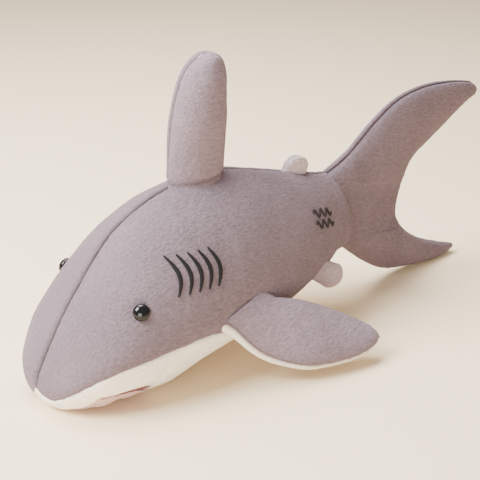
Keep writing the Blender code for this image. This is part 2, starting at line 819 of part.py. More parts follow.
def hang(name, point, prefixes, parts):
    """Parent the pieces whose names start this way to an empty at the point they turn about."""
    pivot = add_object(name, None, parts)
    pivot.location = point
    for piece in parts.objects:
        if piece.type == "MESH" and piece.name.startswith(prefixes):
            piece.parent = pivot
            piece.matrix_parent_inverse = Matrix.Translation(point).inverted()


def hang_all(parts):
    hang("jaw_pivot", JAW_HINGE, ("jaw_", "lower_teeth_"), parts)
    hang("tail_pivot", TAIL_HINGE, ("tail_panel_", "tail_stuffing"), parts)
    hang("dorsal_pivot", DORSAL_HINGE, ("dorsal_",), parts)
    hang("second_dorsal_pivot", SECOND_DORSAL_HINGE, ("second_dorsal_",), parts)
    for side, word in ((-1, "left"), (1, "right")):
        for fin, (x, y, z) in (("pectoral", PECTORAL_HINGE), ("pelvic", PELVIC_HINGE)):
            names = tuple(f"{fin}_{layer}_{word}" for layer in ("top", "bottom", "stuffing"))
            hang(f"{fin}_pivot_{word}", (x, -side * y, z), names, parts)


def main():
    clear_scene()
    parts = new_collection("plush_shark")
    cutters = new_collection("cutters")

    stuffing = paint(body_solid("body_stuffing", CLOTH + FILL_GAP, parts, first=1), "stuffing")
    belly = paint(belly_panel("belly_panel", parts), "plush_white")
    for side, word in ((-1, "left"), (1, "right")):
        panel = paint(side_panel(f"side_panel_{word}", side, parts), "plush_grey")
        build_eye(side, word, parts, cutters, panel, stuffing)
    build_mouth(parts, cutters, belly, stuffing)
    build_embroidery(parts)
    build_fins(parts)
    build_tail(parts, cutters)
    hang_all(parts)


main()
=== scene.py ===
"""Plush shark: the visual model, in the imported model's frame. Metres, nose along -X, tail along +X."""

import math

import bmesh
import bpy
import numpy as np
from mathutils import Matrix, Vector, noise


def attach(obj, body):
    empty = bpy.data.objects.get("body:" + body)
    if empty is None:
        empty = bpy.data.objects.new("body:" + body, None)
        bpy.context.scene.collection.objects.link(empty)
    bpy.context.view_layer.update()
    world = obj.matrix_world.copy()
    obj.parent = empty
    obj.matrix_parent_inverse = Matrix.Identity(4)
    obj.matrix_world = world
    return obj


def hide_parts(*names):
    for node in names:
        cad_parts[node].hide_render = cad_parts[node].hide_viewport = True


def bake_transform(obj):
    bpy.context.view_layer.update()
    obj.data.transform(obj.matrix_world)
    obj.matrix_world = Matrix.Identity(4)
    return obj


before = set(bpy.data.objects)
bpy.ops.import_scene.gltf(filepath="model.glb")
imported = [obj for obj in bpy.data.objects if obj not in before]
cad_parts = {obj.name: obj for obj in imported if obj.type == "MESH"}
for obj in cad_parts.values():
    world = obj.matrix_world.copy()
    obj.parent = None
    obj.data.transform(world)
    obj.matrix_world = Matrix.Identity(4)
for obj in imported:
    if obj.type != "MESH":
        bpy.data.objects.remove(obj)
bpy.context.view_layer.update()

# ---------------------------------------------------------------- forms
# They follow the CAD's, but the nose closes rounder, the grey cloth reaches a little lower on the
# head, and the teeth are slightly shorter and start further back.
BODY = (  # x, top of the back, bottom of the belly, half width, its height, how far grey wraps under
    (-0.3412, 0.0262, 0.0212, 0.0040, 0.0236, 0.50),
    (-0.3395, 0.0345, 0.0140, 0.0190, 0.0255, 0.42),
    (-0.3350, 0.0450, 0.0070, 0.0370, 0.0300, 0.26),
    (-0.3230, 0.0660, 0.0010, 0.0560, 0.0400, 0.10),
    (-0.2950, 0.1100, 0.0000, 0.0780, 0.0570, 0.04),
    (-0.2500, 0.1650, 0.0000, 0.0900, 0.0680, 0.045),
    (-0.2150, 0.1890, 0.0000, 0.0940, 0.0750, 0.055),
    (-0.1700, 0.2065, 0.0140, 0.0950, 0.0800, 0.11),
    (-0.1050, 0.2145, 0.0270, 0.0900, 0.0820, 0.30),
    (-0.0400, 0.2010, 0.0430, 0.0780, 0.0860, 0.50),
    (0.0200, 0.1845, 0.0600, 0.0600, 0.0920, 0.60),
    (0.0620, 0.1740, 0.0730, 0.0400, 0.0980, 0.60),
)
BACK_FULLNESS = 0.42
FLANK_FULLNESS = 0.52
BELLY_FULLNESS = 0.60
REST_FLAT = 0.36
TAIL_HINGE_X = BODY[-1][0]

JAW_HINGE_X = -0.2400
JAW_LENGTH = 0.0800
JAW_HALF_WIDTH = 0.1050
JAW_TOP = 0.0215
MOUTH_ROOF = 0.0265
JAW_CLEARANCE = 0.0008
JAW_EXTRA = 0.0004  # room for the lip's own swell
JAW_OUTLINE_STEPS = 48
LIP_SWELL_X = -0.2720  # in front of this the lip swells out
LIP_SHUT_X = -0.2750  # and in front of this it meets the upper lip
LIP_SHUT_RISE = 0.0042
LIP_FADE = 0.0080
LIP_WAVE = 0.0270
LIP_GAP_X = -0.2520
LIP_GAP_REACH = 0.0075
LIP_GAP_DEPTH = 0.0028
TOOTH_COUNT = 7
TOOTH_PITCH = 0.0070
TOOTH_REACH = 0.0030
TOOTH_ROOT = 0.0060
TOOTH_THICK = 0.0008
TOOTH_STEPS = 8
TEETH_FRONT_X = -0.2905
TEETH_SET_BACK = 0.0052  # the rows lie this far inside the lips, less by the corner of the mouth
TEETH_CORNER_X = -0.2445
TOOTH_ROWS = (("upper", 0.0257, "torso"), ("lower", 0.0232, "jaw"))  # each with its height
BLOCK_BOTTOM = -0.03
LOWEST = 0.0002  # cloth stays this far above the floor
CENTRE_GAP = 0.0002  # and this far from the middle plane

EYE_X = -0.2535
EYE_Z = 0.1125
EYE_RADIUS = 0.0090
EYE_HEIGHT = 0.0070
EYE_DIMPLE = 0.0022
EYE_DIMPLE_REACH = 0.0120
EYE_RIM = 0.0006
EYE_RIM_AT = 0.0160
EYE_RIM_REACH = 0.0060
GILL_COUNT = 5
GILL_FIRST_X = -0.2130
GILL_PITCH = 0.0122
GILL_TOP_Z = 0.1590
GILL_LENGTH = 0.0385
GILL_BULGE = 0.0075
GILL_HALF_WIDTH = 0.0024
WAVE_START_X = 0.0060
WAVE_LENGTH = 0.0360
WAVE_Z = (0.1480, 0.1360)
WAVE_HEIGHT = 0.0040
WAVE_HUMPS = 3
WAVE_HALF_WIDTH = 0.0013

DORSAL = (
    (
        (-0.1630, 0.0, 0.2145),
        (-0.1600, 0.0, 0.2480),
        (-0.1555, 0.0, 0.2800),
        (-0.1475, 0.0, 0.3100),
        (-0.1340, 0.0, 0.3340),
        (-0.1120, 0.0, 0.3480),
    ),
    (
        (-0.0920, 0.0, 0.2175),
        (-0.0900, 0.0, 0.2550),
        (-0.0890, 0.0, 0.3000),
        (-0.0890, 0.0, 0.3250),
        (-0.0940, 0.0, 0.3400),
        (-0.1030, 0.0, 0.3480),
    ),
)
SECOND_DORSAL = (
    (
        (0.0000, 0.0, 0.1930),
        (0.0050, 0.0, 0.1995),
        (0.0120, 0.0, 0.2035),
        (0.0200, 0.0, 0.2050),
    ),
    (
        (0.0400, 0.0, 0.1820),
        (0.0410, 0.0, 0.1895),
        (0.0370, 0.0, 0.1975),
        (0.0280, 0.0, 0.2040),
    ),
)
PECTORAL = (
    (
        (-0.1570, -0.0965, 0.0640),
        (-0.1280, -0.1180, 0.0330),
        (-0.0850, -0.1430, 0.0160),
        (-0.0350, -0.1560, 0.0130),
        (0.0010, -0.1580, 0.0160),
        (0.0190, -0.1540, 0.0210),
    ),
    (
        (-0.0860, -0.0905, 0.0860),
        (-0.0560, -0.1020, 0.0780),
        (-0.0260, -0.1120, 0.0620),
        (0.0020, -0.1270, 0.0450),
        (0.0180, -0.1400, 0.0330),
        (0.0225, -0.1490, 0.0260),
    ),
)
PELVIC = (
    (
        (-0.0010, -0.0600, 0.0670),
        (0.0120, -0.0680, 0.0570),
        (0.0250, -0.0710, 0.0560),
        (0.0340, -0.0710, 0.0600),
    ),
    (
        (0.0310, -0.0590, 0.0850),
        (0.0390, -0.0620, 0.0815),
        (0.0420, -0.0650, 0.0740),
        (0.0400, -0.0690, 0.0660),
    ),
)
TAIL_LOWER_EDGE = (
    (0.3160, 0.0050),
    (0.2980, 0.0000),
    (0.2640, 0.0000),
    (0.2145, 0.0050),
    (0.1750, 0.0130),
    (0.1400, 0.0330),
    (0.1080, 0.0580),
    (0.0800, 0.0760),
    (0.0560, 0.0900),
)
TAIL_UPPER_EDGE = (
    (0.0480, 0.1630),
    (0.0720, 0.1745),
    (0.1010, 0.1890),
    (0.1265, 0.2080),
    (0.1515, 0.2260),
    (0.1855, 0.2440),
    (0.2305, 0.2530),
    (0.2785, 0.2520),
    (0.3195, 0.2460),
    (0.3400, 0.2400),
)
TAIL_NOTCH = (
    (0.3185, 0.0140),
    (0.2930, 0.0220),
    (0.2505, 0.0390),
    (0.2190, 0.0590),
    (0.2020, 0.0800),
    (0.1995, 0.1000),
    (0.2090, 0.1320),
    (0.2230, 0.1590),
    (0.2580, 0.1790),
    (0.2950, 0.1990),
    (0.3225, 0.2150),
    (0.3425, 0.2220),
)

# ---------------------------------------------------------------- cloth
SKIN = 0.0020  # how thick a panel of cloth is
FILL_DEPTH = 0.0095  # how far inside the surface the stuffing lies
SEAM_DEPTH = 0.0030
SEAM_REACH = 0.0028


def spline(knots, steps):
    """A smooth curve through the knots, with this many steps between each two."""
    knots = np.array(knots, dtype=float)
    slopes = np.gradient(knots, axis=0)
    points = []
    for i in range(len(knots) - 1):
        for t in np.arange(steps) / steps:
            points.append(
                (2 * t**3 - 3 * t**2 + 1) * knots[i]
                + (t**3 - 2 * t**2 + t) * slopes[i]
                + (3 * t**2 - 2 * t**3) * knots[i + 1]
                + (t**3 - t**2) * slopes[i + 1]
            )
    points.append(knots[-1])
    return np.array(points)


def run_lengths(points):
    steps = np.linalg.norm(np.diff(points, axis=0), axis=1)
    return np.concatenate([[0.0], np.cumsum(steps)])


def along(knots, shares):
    """Points at these shares of the length of the smooth curve through the knots."""
    return along_straight(spline(knots, 24), shares)


def bezier(a, b, c, d, steps):
    """Points on a cubic curve from a to d."""
    t = np.linspace(0.0, 1.0, steps + 1)[:, None]
    a, b, c, d = (np.array(p, dtype=float) for p in (a, b, c, d))
    return (1 - t) ** 3 * a + 3 * t * (1 - t) ** 2 * b + 3 * t**2 * (1 - t) * c + t**3 * d


def spread(points, steps):
    """The same run of points, spaced evenly."""
    return along_straight(points, np.linspace(0.0, 1.0, steps + 1))


def along_straight(points, shares):
    """Points at these shares of the length of a run of straight steps."""
    lengths = run_lengths(points)
    wanted = np.array(shares) * lengths[-1]
    columns = [np.interp(wanted, lengths, points[:, k]) for k in range(points.shape[1])]
    return np.column_stack(columns)


STATIONS = spline(BODY, 9)
STATIONS[:, (2, 5)] = np.maximum(STATIONS[:, (2, 5)], 0.0)
STATIONS[:, 5] = np.minimum(STATIONS[:, 5], 0.95)
RIGHT_NOSE_TUCK = 0.93  # on the right of the nose the grey cloth reaches further down
RIGHT_NOSE_END_X = -0.3060
RIGHT_NOSE_FADE = 0.0180
RIGHT_STATIONS = STATIONS.copy()
RIGHT_STATIONS[:, 5] = np.maximum(
    STATIONS[:, 5],
    RIGHT_NOSE_TUCK * np.clip((RIGHT_NOSE_END_X - STATIONS[:, 0]) / RIGHT_NOSE_FADE, 0.0, 1.0),
)
CURVE_STEPS = 60
SIDE_STEPS = 44
UNDER_STEPS = 26


def half_section(station, inset=0.0):
    """The right half of the body's outline: the side run, and the run under it."""
    x, back, belly, width, widest, tuck = station
    narrow = min(inset, 0.45 * width)
    flat = min(inset, 0.45 * (back - belly) / 2)
    width, back, belly = width - narrow, back - flat, belly + flat
    rise, drop, rest = back - widest, widest - belly, REST_FLAT * width
    upper = bezier(
        (0.0, back),
        (BACK_FULLNESS * width, back),
        (width, widest + FLANK_FULLNESS * rise),
        (width, widest),
        CURVE_STEPS,
    )
    lower = bezier(
        (width, widest),
        (width, widest - BELLY_FULLNESS * drop),
        (rest + 0.6 * BELLY_FULLNESS * (width - rest), belly),
        (rest, belly),
        CURVE_STEPS,
    )
    seam = tuck * CURVE_STEPS
    whole = int(seam)
    corner = lower[whole] + (lower[min(whole + 1, CURVE_STEPS)] - lower[whole]) * (seam - whole)
    side = spread(np.vstack([upper, lower[1 : whole + 1], [corner + 1e-9]]), SIDE_STEPS)
    under = spread(np.vstack([[corner], lower[whole + 1 :], [[0.0, belly]]]), UNDER_STEPS)
    return (np.column_stack([np.full(len(p), x), p]) for p in (side, under))


def body_runs(inset=0.0, end_step=6, stations=STATIONS):
    """Side and under runs from the nose to the rounded end over the tail's hinge."""
    sides, unders = [], []
    for station in stations:
        side, under = half_section(station, inset)
        sides.append(side)
        unders.append(under)
    last = sides[-1], unders[-1]
    for degrees in range(end_step, 88, end_step):
        angle = math.radians(degrees)
        for runs, run in zip((sides, unders), last):
            turned = run.copy()
            turned[:, 0] = TAIL_HINGE_X + run[:, 1] * math.sin(angle)
            turned[:, 1] = run[:, 1] * math.cos(angle)
            runs.append(turned)
    return np.array(sides), np.array(unders)


def station_at(x):
    return [np.interp(x, STATIONS[:, 0], STATIONS[:, k]) for k in range(6)]


def half_width(x, z):
    """Half the body's width at this x and height, on the side run or under it."""
    side, under = half_section(station_at(x))
    outline = np.vstack([side, under[1:]])
    return float(np.interp(-z, -outline[:, 2], outline[:, 1]))


def body_surface(x, z, side, proud=0.0):
    """A point on the flank and the direction that faces out of it there."""
    step = 0.003
    slope_x = (half_width(x + step, z) - half_width(x - step, z)) / (2 * step)
    slope_z = (half_width(x, z + step) - half_width(x, z - step)) / (2 * step)
    normal = Vector((-slope_x, 1.0, -slope_z)).normalized()
    normal.y *= side
    return Vector((x, side * half_width(x, z), z)) + normal * proud, normal


# ---------------------------------------------------------------- relief
def grid_normals(grid):
    """Directions across a grid's surface, all to the same side of it."""
    across = np.gradient(grid, axis=0)
    round_it = np.gradient(grid, axis=1)
    normals = np.cross(across, round_it)
    lengths = np.linalg.norm(normals, axis=2, keepdims=True)
    return normals / np.maximum(lengths, 1e-12)


def lumps(points, scale, seed):
    """Smooth noise in about -1 to 1, with this size of lump, at an array of points."""
    flat = points.reshape(-1, 3) / scale + np.array([seed, 2.3 * seed, -1.7 * seed])
    values = [noise.noise(p) for p in flat.tolist()]
    return np.array(values).reshape(points.shape[:-1])


def edge_distances(grid):
    """Distance over the surface to the first and to the last column."""
    steps = np.linalg.norm(np.diff(grid, axis=1), axis=2)
    first = np.concatenate([np.zeros((len(grid), 1)), np.cumsum(steps, axis=1)], axis=1)
    return first, first[:, -1:] - first


def row_distances(grid):
    """Mean distance over the surface to the first row, as one column."""
    steps = np.linalg.norm(np.diff(grid, axis=0), axis=2).mean(axis=1)
    return np.concatenate([[0.0], np.cumsum(steps)])[:, None]


def plush_relief(grid, seams, seed, swell=0.0008):
    """How far each point of a panel stands out, and how deep in a seam it is, from 0 to 1."""
    rise = swell * lumps(grid, 0.055, seed) + 0.5 * swell * lumps(grid, 0.019, seed + 5)
    rise += 0.00022 * lumps(grid, 0.0031, seed + 9)
    # This depth also darkens the cloth's colour in the plush material: painted shade in the seam's
    # groove, with the pile parting along it.
    depth = np.zeros(grid.shape[:2])
    s = row_distances(grid)
    for distance, strength in seams:
        depth = np.maximum(depth, strength * np.exp(-distance / SEAM_REACH))
        wander = lumps(grid[:, :1], 0.03, seed + 3)
        pucker = np.sin(math.tau * s / 0.0115 + 5 * wander)
        rise += 0.00045 * strength * pucker * np.exp(-distance / 0.009) * (0.6 + 0.8 * wander)
    return rise - SEAM_DEPTH * depth, depth


# ---------------------------------------------------------------- meshes
def face_out(mesh, weld=0.0):
    """Turn a closed mesh's faces outward, once points closer than weld are joined."""
    bm = bmesh.new()
    bm.from_mesh(mesh)
    if weld:
        bmesh.ops.remove_doubles(bm, verts=bm.verts, dist=weld)
    bmesh.ops.recalc_face_normals(bm, faces=bm.faces)
    if bm.calc_volume(signed=True) < 0:
        bmesh.ops.reverse_faces(bm, faces=bm.faces)
    bm.to_mesh(mesh)
    bm.free()
    mesh.shade_smooth()


def link_object(name, data):
    made = bpy.data.objects.new(name, data)
    bpy.context.scene.collection.objects.link(made)
    return made


def object_from(name, vertices, faces):
    mesh = bpy.data.meshes.new(name)
    mesh.from_pydata([tuple(v) for v in vertices], [], faces)
    face_out(mesh, 1e-6)
    return link_object(name, mesh)


def set_shade(made, values):
    attribute = made.data.attributes.new("seam", "FLOAT", "POINT")
    attribute.data.foreach_set("value", np.asarray(values, dtype=np.float32))


def shell(name, outer, inner, depth):
    """A closed sheet of cloth between two grids of points."""
    rows, cols = outer.shape[:2]
    vertices = np.vstack([outer.reshape(-1, 3), inner.reshape(-1, 3)])
    count = rows * cols
    faces = []
    for r in range(rows - 1):
        for c in range(cols - 1):
            a, b = r * cols + c, r * cols + c + 1
            d, e = b + cols, a + cols
            faces.append((a, b, d, e))
            faces.append((e + count, d + count, b + count, a + count))
    rim = [(r * cols, (r + 1) * cols) for r in range(rows - 1)]
    rim += [((r + 1) * cols - 1, (r + 2) * cols - 1) for r in range(rows - 1)]
    rim += [(c, c + 1) for c in range(cols - 1)]
    rim += [((rows - 1) * cols + c, (rows - 1) * cols + c + 1) for c in range(cols - 1)]
    faces += [(a, b, b + count, a + count) for a, b in rim]
    mesh = bpy.data.meshes.new(name)
    mesh.from_pydata([tuple(v) for v in vertices], [], faces)
    # The seam depth, kept so the plush can darken the seams: painted shade in the groove, with the pile
    # parting along it.
    attribute = mesh.attributes.new("seam", "FLOAT", "POINT")
    values = np.concatenate([depth.ravel(), depth.ravel()])
    attribute.data.foreach_set("value", values.astype(np.float32))
    face_out(mesh)
    return link_object(name, mesh)


def loft(name, rings):
    """A closed solid through rings of points, each end drawn in to its middle."""
    rows, cols = len(rings), len(rings[0])
    vertices = [tuple(p) for ring in rings for p in ring]
    faces = []
    for r in range(rows - 1):
        for c in range(cols):
            n = (c + 1) % cols
            faces.append((r * cols + c, r * cols + n, (r + 1) * cols + n, (r + 1) * cols + c))
    for r in (0, rows - 1):
        vertices.append(tuple(np.mean(rings[r], axis=0)))
        middle = len(vertices) - 1
        for c in range(cols):
            faces.append((r * cols + c, r * cols + (c + 1) % cols, middle))
    return object_from(name, vertices, faces)


def modify(made, kind, **settings):
    """Add a modifier and apply it."""
    modifier = made.modifiers.new(kind, kind)
    for key, value in settings.items():
        setattr(modifier, key, value)
    bpy.context.view_layer.update()
    depsgraph = bpy.context.evaluated_depsgraph_get()
    mesh = bpy.data.meshes.new_from_object(made.evaluated_get(depsgraph))
    old = made.data
    made.modifiers.clear()
    made.data = mesh
    bpy.data.meshes.remove(old)
    return made


def drop(made):
    """Remove a helper object and its mesh."""
    mesh = made.data
    bpy.data.objects.remove(made)
    bpy.data.meshes.remove(mesh)


def points_of(made):
    mesh = made.data
    points = np.empty(len(mesh.vertices) * 3)
    mesh.vertices.foreach_get("co", points)
    normals = np.empty(len(mesh.vertices) * 3)
    mesh.vertices.foreach_get("normal", normals)
    return points.reshape(-1, 3), normals.reshape(-1, 3)


def set_points(made, points):
    made.data.vertices.foreach_set("co", points.ravel())
    made.data.update()


# ---------------------------------------------------------------- materials
def shader_of(name):
    """A new material with its nodes, links and main shader."""
    made = bpy.data.materials.new(name)
    made.use_nodes = True
    return made, made.node_tree.nodes, made.node_tree.links, made.node_tree.nodes["Principled BSDF"]


def noise_node(nodes, links, where, scale, detail, roughness=0.5):
    made = nodes.new("ShaderNodeTexNoise")
    made.inputs["Scale"].default_value = scale
    made.inputs["Detail"].default_value = detail
    made.inputs["Roughness"].default_value = roughness
    links.new(where, made.inputs["Vector"])
    return made.outputs["Fac"]


def ramp(nodes, links, fac, stops):
    made = nodes.new("ShaderNodeValToRGB")
    while len(made.color_ramp.elements) < len(stops):
        made.color_ramp.elements.new(0.5)
    for element, (position, colour) in zip(made.color_ramp.elements, stops):
        element.position = position
        element.color = (*colour, 1.0)
    links.new(fac, made.inputs["Fac"])
    return made.outputs["Color"]


def mix_colour(nodes, links, fac, a, b, blend="MIX"):
    made = nodes.new("ShaderNodeMix")
    made.data_type = "RGBA"
    made.blend_type = blend
    sockets = [s for s in made.inputs if s.enabled]
    for socket, value in zip(sockets, (fac, a, b)):
        if isinstance(value, (int, float)):
            socket.default_value = value
        elif isinstance(value, tuple):
            socket.default_value = (*value, 1.0)
        else:
            links.new(value, socket)
    return [s for s in made.outputs if s.enabled][0]


def math_node(nodes, links, operation, a, b):
    made = nodes.new("ShaderNodeMath")
    made.operation = operation
    for socket, value in zip(made.inputs, (a, b)):
        if isinstance(value, (int, float)):
            socket.default_value = value
        else:
            links.new(value, socket)
    return made.outputs[0]


def add_bump(nodes, links, shader, height, strength, distance):
    bump = nodes.new("ShaderNodeBump")
    bump.inputs["Strength"].default_value = strength
    bump.inputs["Distance"].default_value = distance
    links.new(height, bump.inputs["Height"])
    links.new(bump.outputs["Normal"], shader.inputs["Normal"])


def scaled(colour, factor):
    return tuple(min(c * factor, 1.0) for c in colour)


def plush(name, colour, seam_shade_colour, lay=(0.0, 0.35, 0.5), contrast=1.0):
    """Short dense pile: tufts a few millimetres long that lie one way, with soft lighter and darker
    patches, and painted shade darkening the seams.
    """
    made, nodes, links, shader = shader_of(name)
    where = nodes.new("ShaderNodeTexCoord").outputs["Object"]
    laid = nodes.new("ShaderNodeMapping")
    laid.inputs["Rotation"].default_value = lay
    laid.inputs["Scale"].default_value = (0.42, 1.0, 1.0)
    links.new(where, laid.inputs["Vector"])
    swirl = noise_node(nodes, links, where, 30.0, 2.0)
    tufts = noise_node(nodes, links, laid.outputs[0], 400.0, 3.0, 0.6)
    fibres = noise_node(nodes, links, laid.outputs[0], 1000.0, 2.0, 0.6)
    patches = noise_node(nodes, links, where, 14.0, 3.0, 0.55)
    k = 0.20 * contrast
    tone = ramp(nodes, links, tufts, [(0.30, scaled(colour, 1 - k)), (0.70, scaled(colour, 1 + k))])
    fine = ramp(nodes, links, fibres, [(0.30, (0.90, 0.90, 0.90)), (0.70, (1.10, 1.10, 1.10))])
    tone = mix_colour(nodes, links, 1.0, tone, fine, "MULTIPLY")
    broad = ramp(nodes, links, patches, [(0.35, (0.93, 0.925, 0.93)), (0.65, (1.07, 1.065, 1.06))])
    tone = mix_colour(nodes, links, 1.0, tone, broad, "MULTIPLY")
    # Painted shade: the seam attribute darkens the cloth towards the seam colour, partly for the pile
    # parting along a seam and partly for the shade in its groove.
    seam = nodes.new("ShaderNodeAttribute")
    seam.attribute_name = "seam"
    dark = math_node(nodes, links, "MULTIPLY", seam.outputs["Fac"], 0.75)
    tone = mix_colour(nodes, links, dark, tone, seam_shade_colour)
    links.new(tone, shader.inputs["Base Color"])
    shader.inputs["Roughness"].default_value = 0.95
    shader.inputs["Specular IOR Level"].default_value = 0.15
    shader.inputs["Sheen Weight"].default_value = 0.45
    shader.inputs["Sheen Roughness"].default_value = 0.45
    shader.inputs["Sheen Tint"].default_value = (*scaled(colour, 1.6), 1.0)
    height = math_node(nodes, links, "ADD", tufts, math_node(nodes, links, "MULTIPLY", fibres, 0.35))
    height = math_node(nodes, links, "ADD", height, math_node(nodes, links, "MULTIPLY", swirl, 0.5))
    add_bump(nodes, links, shader, height, 1.0, 0.0019)
    return made


def felt(name, colour, scale=900.0):
    made, nodes, links, shader = shader_of(name)
    where = nodes.new("ShaderNodeTexCoord").outputs["Object"]
    fibres = noise_node(nodes, links, where, scale, 4.0, 0.65)
    patches = noise_node(nodes, links, where, 60.0, 2.0)
    tone = ramp(nodes, links, fibres, [(0.3, scaled(colour, 0.75)), (0.7, scaled(colour, 1.2))])
    broad = ramp(nodes, links, patches, [(0.3, (0.9, 0.9, 0.9)), (0.7, (1.08, 1.08, 1.08))])
    links.new(mix_colour(nodes, links, 1.0, tone, broad, "MULTIPLY"), shader.inputs["Base Color"])
    shader.inputs["Roughness"].default_value = 0.9
    shader.inputs["Sheen Weight"].default_value = 0.3
    add_bump(nodes, links, shader, fibres, 0.5, 0.0005)
    return made


def thread(name, colour):
    """Satin stitch: fine strands side by side, with a silky gloss."""
    made, nodes, links, shader = shader_of(name)
    where = nodes.new("ShaderNodeTexCoord").outputs["Object"]
    wave = nodes.new("ShaderNodeTexWave")
    wave.wave_type = "BANDS"
    wave.bands_direction = "Z"
    wave.inputs["Scale"].default_value = 700.0
    wave.inputs["Distortion"].default_value = 2.0
    wave.inputs["Detail"].default_value = 2.0
    links.new(where, wave.inputs["Vector"])
    stops = [(0.2, scaled(colour, 0.55)), (0.8, scaled(colour, 1.7))]
    tone = ramp(nodes, links, wave.outputs["Fac"], stops)
    links.new(tone, shader.inputs["Base Color"])
    shader.inputs["Roughness"].default_value = 0.75
    shader.inputs["Specular IOR Level"].default_value = 0.25
    add_bump(nodes, links, shader, wave.outputs["Fac"], 0.5, 0.0004)
    return made


def glossy(name, colour, roughness):
    """Moulded plastic with faint dust and rub marks in its polish."""
    made, nodes, links, shader = shader_of(name)
    where = nodes.new("ShaderNodeTexCoord").outputs["Object"]
    rubs = noise_node(nodes, links, where, 260.0, 4.0, 0.6)
    tone = ramp(nodes, links, rubs, [(0.3, scaled(colour, 0.9)), (0.75, scaled(colour, 1.25))])
    links.new(tone, shader.inputs["Base Color"])
    dull = nodes.new("ShaderNodeMapRange")
    dull.inputs["From Min"].default_value = 0.3
    dull.inputs["From Max"].default_value = 0.8
    dull.inputs["To Min"].default_value = roughness * 0.8
    dull.inputs["To Max"].default_value = roughness * 1.8
    links.new(rubs, dull.inputs["Value"])
    links.new(dull.outputs["Result"], shader.inputs["Roughness"])
    shader.inputs["Specular IOR Level"].default_value = 0.35
    return made


def fibre_fill(name):
    made, nodes, links, shader = shader_of(name)
    where = nodes.new("ShaderNodeTexCoord").outputs["Object"]
    strands = noise_node(nodes, links, where, 300.0, 5.0, 0.7)
    tone = ramp(nodes, links, strands, [(0.3, (0.7, 0.7, 0.68)), (0.7, (0.92, 0.92, 0.9))])
    links.new(tone, shader.inputs["Base Color"])
    shader.inputs["Roughness"].default_value = 1.0
    add_bump(nodes, links, shader, strands, 0.8, 0.002)
    return made


GREY = (0.164, 0.123, 0.141)
WHITE = (0.95, 0.84, 0.71)
PALE = (0.50, 0.42, 0.43)
# The seams' darker colours: partly the pile parting along a seam, partly painted shade in its groove.
GREY_SEAM_SHADE = (0.060, 0.045, 0.050)
WHITE_SEAM_SHADE = (0.45, 0.33, 0.26)
PALE_SEAM_SHADE = (0.25, 0.18, 0.18)

PLUSH_GREY = plush("plush_grey", GREY, GREY_SEAM_SHADE)
# The fins' grey: the body's grey made 1.28 times lighter, partly for their paler cloth and partly as
# painted light for the brighter light on them.
PLUSH_FIN_TINT_AND_LIGHT = plush("plush_grey_fin_tint_and_light", scaled(GREY, 1.28), GREY_SEAM_SHADE, (0.0, 1.35, 0.3))
PLUSH_WHITE = plush("plush_white", WHITE, WHITE_SEAM_SHADE, (0.0, 0.2, 0.2), 0.6)
# The lower lip: pinker and darker than the belly's white; the pink is its own, the darkening partly its
# greyer cloth and partly painted shade under the head.
PLUSH_LIP_TINT_AND_SHADE = plush("plush_lip_tint_and_shade", (0.55, 0.37, 0.345), WHITE_SEAM_SHADE, (0.0, 0.2, 0.2), 0.6)
PLUSH_PINK = plush("plush_pale_pink", (0.36, 0.27, 0.28), PALE_SEAM_SHADE, (0.0, 0.9, 0.2), 0.8)
PLUSH_PALE = plush("plush_pale", PALE, PALE_SEAM_SHADE, (0.0, 0.9, 0.2), 0.8)
FELT_RED = felt("felt_red", (0.24, 0.004, 0.009))
FELT_WHITE = felt("felt_white", (0.80, 0.72, 0.64), 1200.0)
THREAD = thread("thread_dark", (0.004, 0.0035, 0.004))
THREAD_GREY = thread("thread_grey", (0.022, 0.018, 0.020))
EYE = glossy("eye_plastic", (0.003, 0.003, 0.004), 0.07)
WASHER = glossy("washer_plastic", (0.75, 0.75, 0.72), 0.4)
FILL = fibre_fill("stuffing")


def dress(made, material, body=None, replaced=()):
    made.data.materials.clear()
    made.data.materials.append(material)
    if body:
        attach(made, body)
    if replaced:
        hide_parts(*replaced)
    return made


# ---------------------------------------------------------------- torso
RUNS = {-1: body_runs(), 1: body_runs(stations=RIGHT_STATIONS)}  # by side: left, right


def seam_line(side):
    """Where the side of the body is sewn to the belly, with the small waver of hand-fed cloth."""
    line = RUNS[side][0][:, -1] - SEAM_DEPTH * 0.3 * np.array([0.0, 1.0, 0.0])
    line[:, 2] += 0.0012 * lumps(line, 0.009, 17.0) + 0.0012 * lumps(line, 0.030, 18.0)
    return line * np.array([1.0, side, 1.0])


NOSE_TIP = (-0.3416, 0.0, 0.0232)
FOLDS = (  # soft creases that run up from the corner of the mouth, as two (x, z) ends
    ((-0.2450, 0.0290), (-0.2240, 0.0520), 0.0022),
    ((-0.2400, 0.0240), (-0.2330, 0.0420), 0.0014),
    ((-0.2560, 0.0330), (-0.2480, 0.0400), 0.0008),
)


def fold_depth(grid):
    """Creases near the corners of the mouth."""
    x, z = grid[..., 0], grid[..., 2]
    total = np.zeros(x.shape)
    for (ax, az), (bx, bz), depth in FOLDS:
        ux, uz = bx - ax, bz - az
        t = np.clip(((x - ax) * ux + (z - az) * uz) / (ux**2 + uz**2), 0.0, 1.0)
        gap = np.hypot(x - ax - t * ux, z - az - t * uz)
        total += depth * np.exp(-((gap / 0.0026) ** 2)) * np.sin(np.pi * np.clip(t, 0.03, 0.97)) ** 0.4
        total -= 0.5 * depth * np.exp(-(((gap - 0.006) / 0.0035) ** 2)) * (t > 0.05) * (t < 0.95)
    return total


def eye_dimple(grid, side):
    """The cloth is drawn in round the eye."""
    point, normal = body_surface(EYE_X, EYE_Z, side)
    gap = np.linalg.norm(grid - np.array(point), axis=2)
    hollow = EYE_DIMPLE * np.exp(-((gap / EYE_DIMPLE_REACH) ** 2))
    rim = EYE_RIM * np.exp(-(((gap - EYE_RIM_AT) / EYE_RIM_REACH) ** 2))
    return hollow - rim


def tail_crease(grid):
    """A faint ring where the body narrows into the tail."""
    place = grid[..., 0] - 0.036 + 0.22 * (grid[..., 2] - 0.14)
    return 0.0007 * np.exp(-((place / 0.0035) ** 2)) * (grid[..., 2] > 0.09)


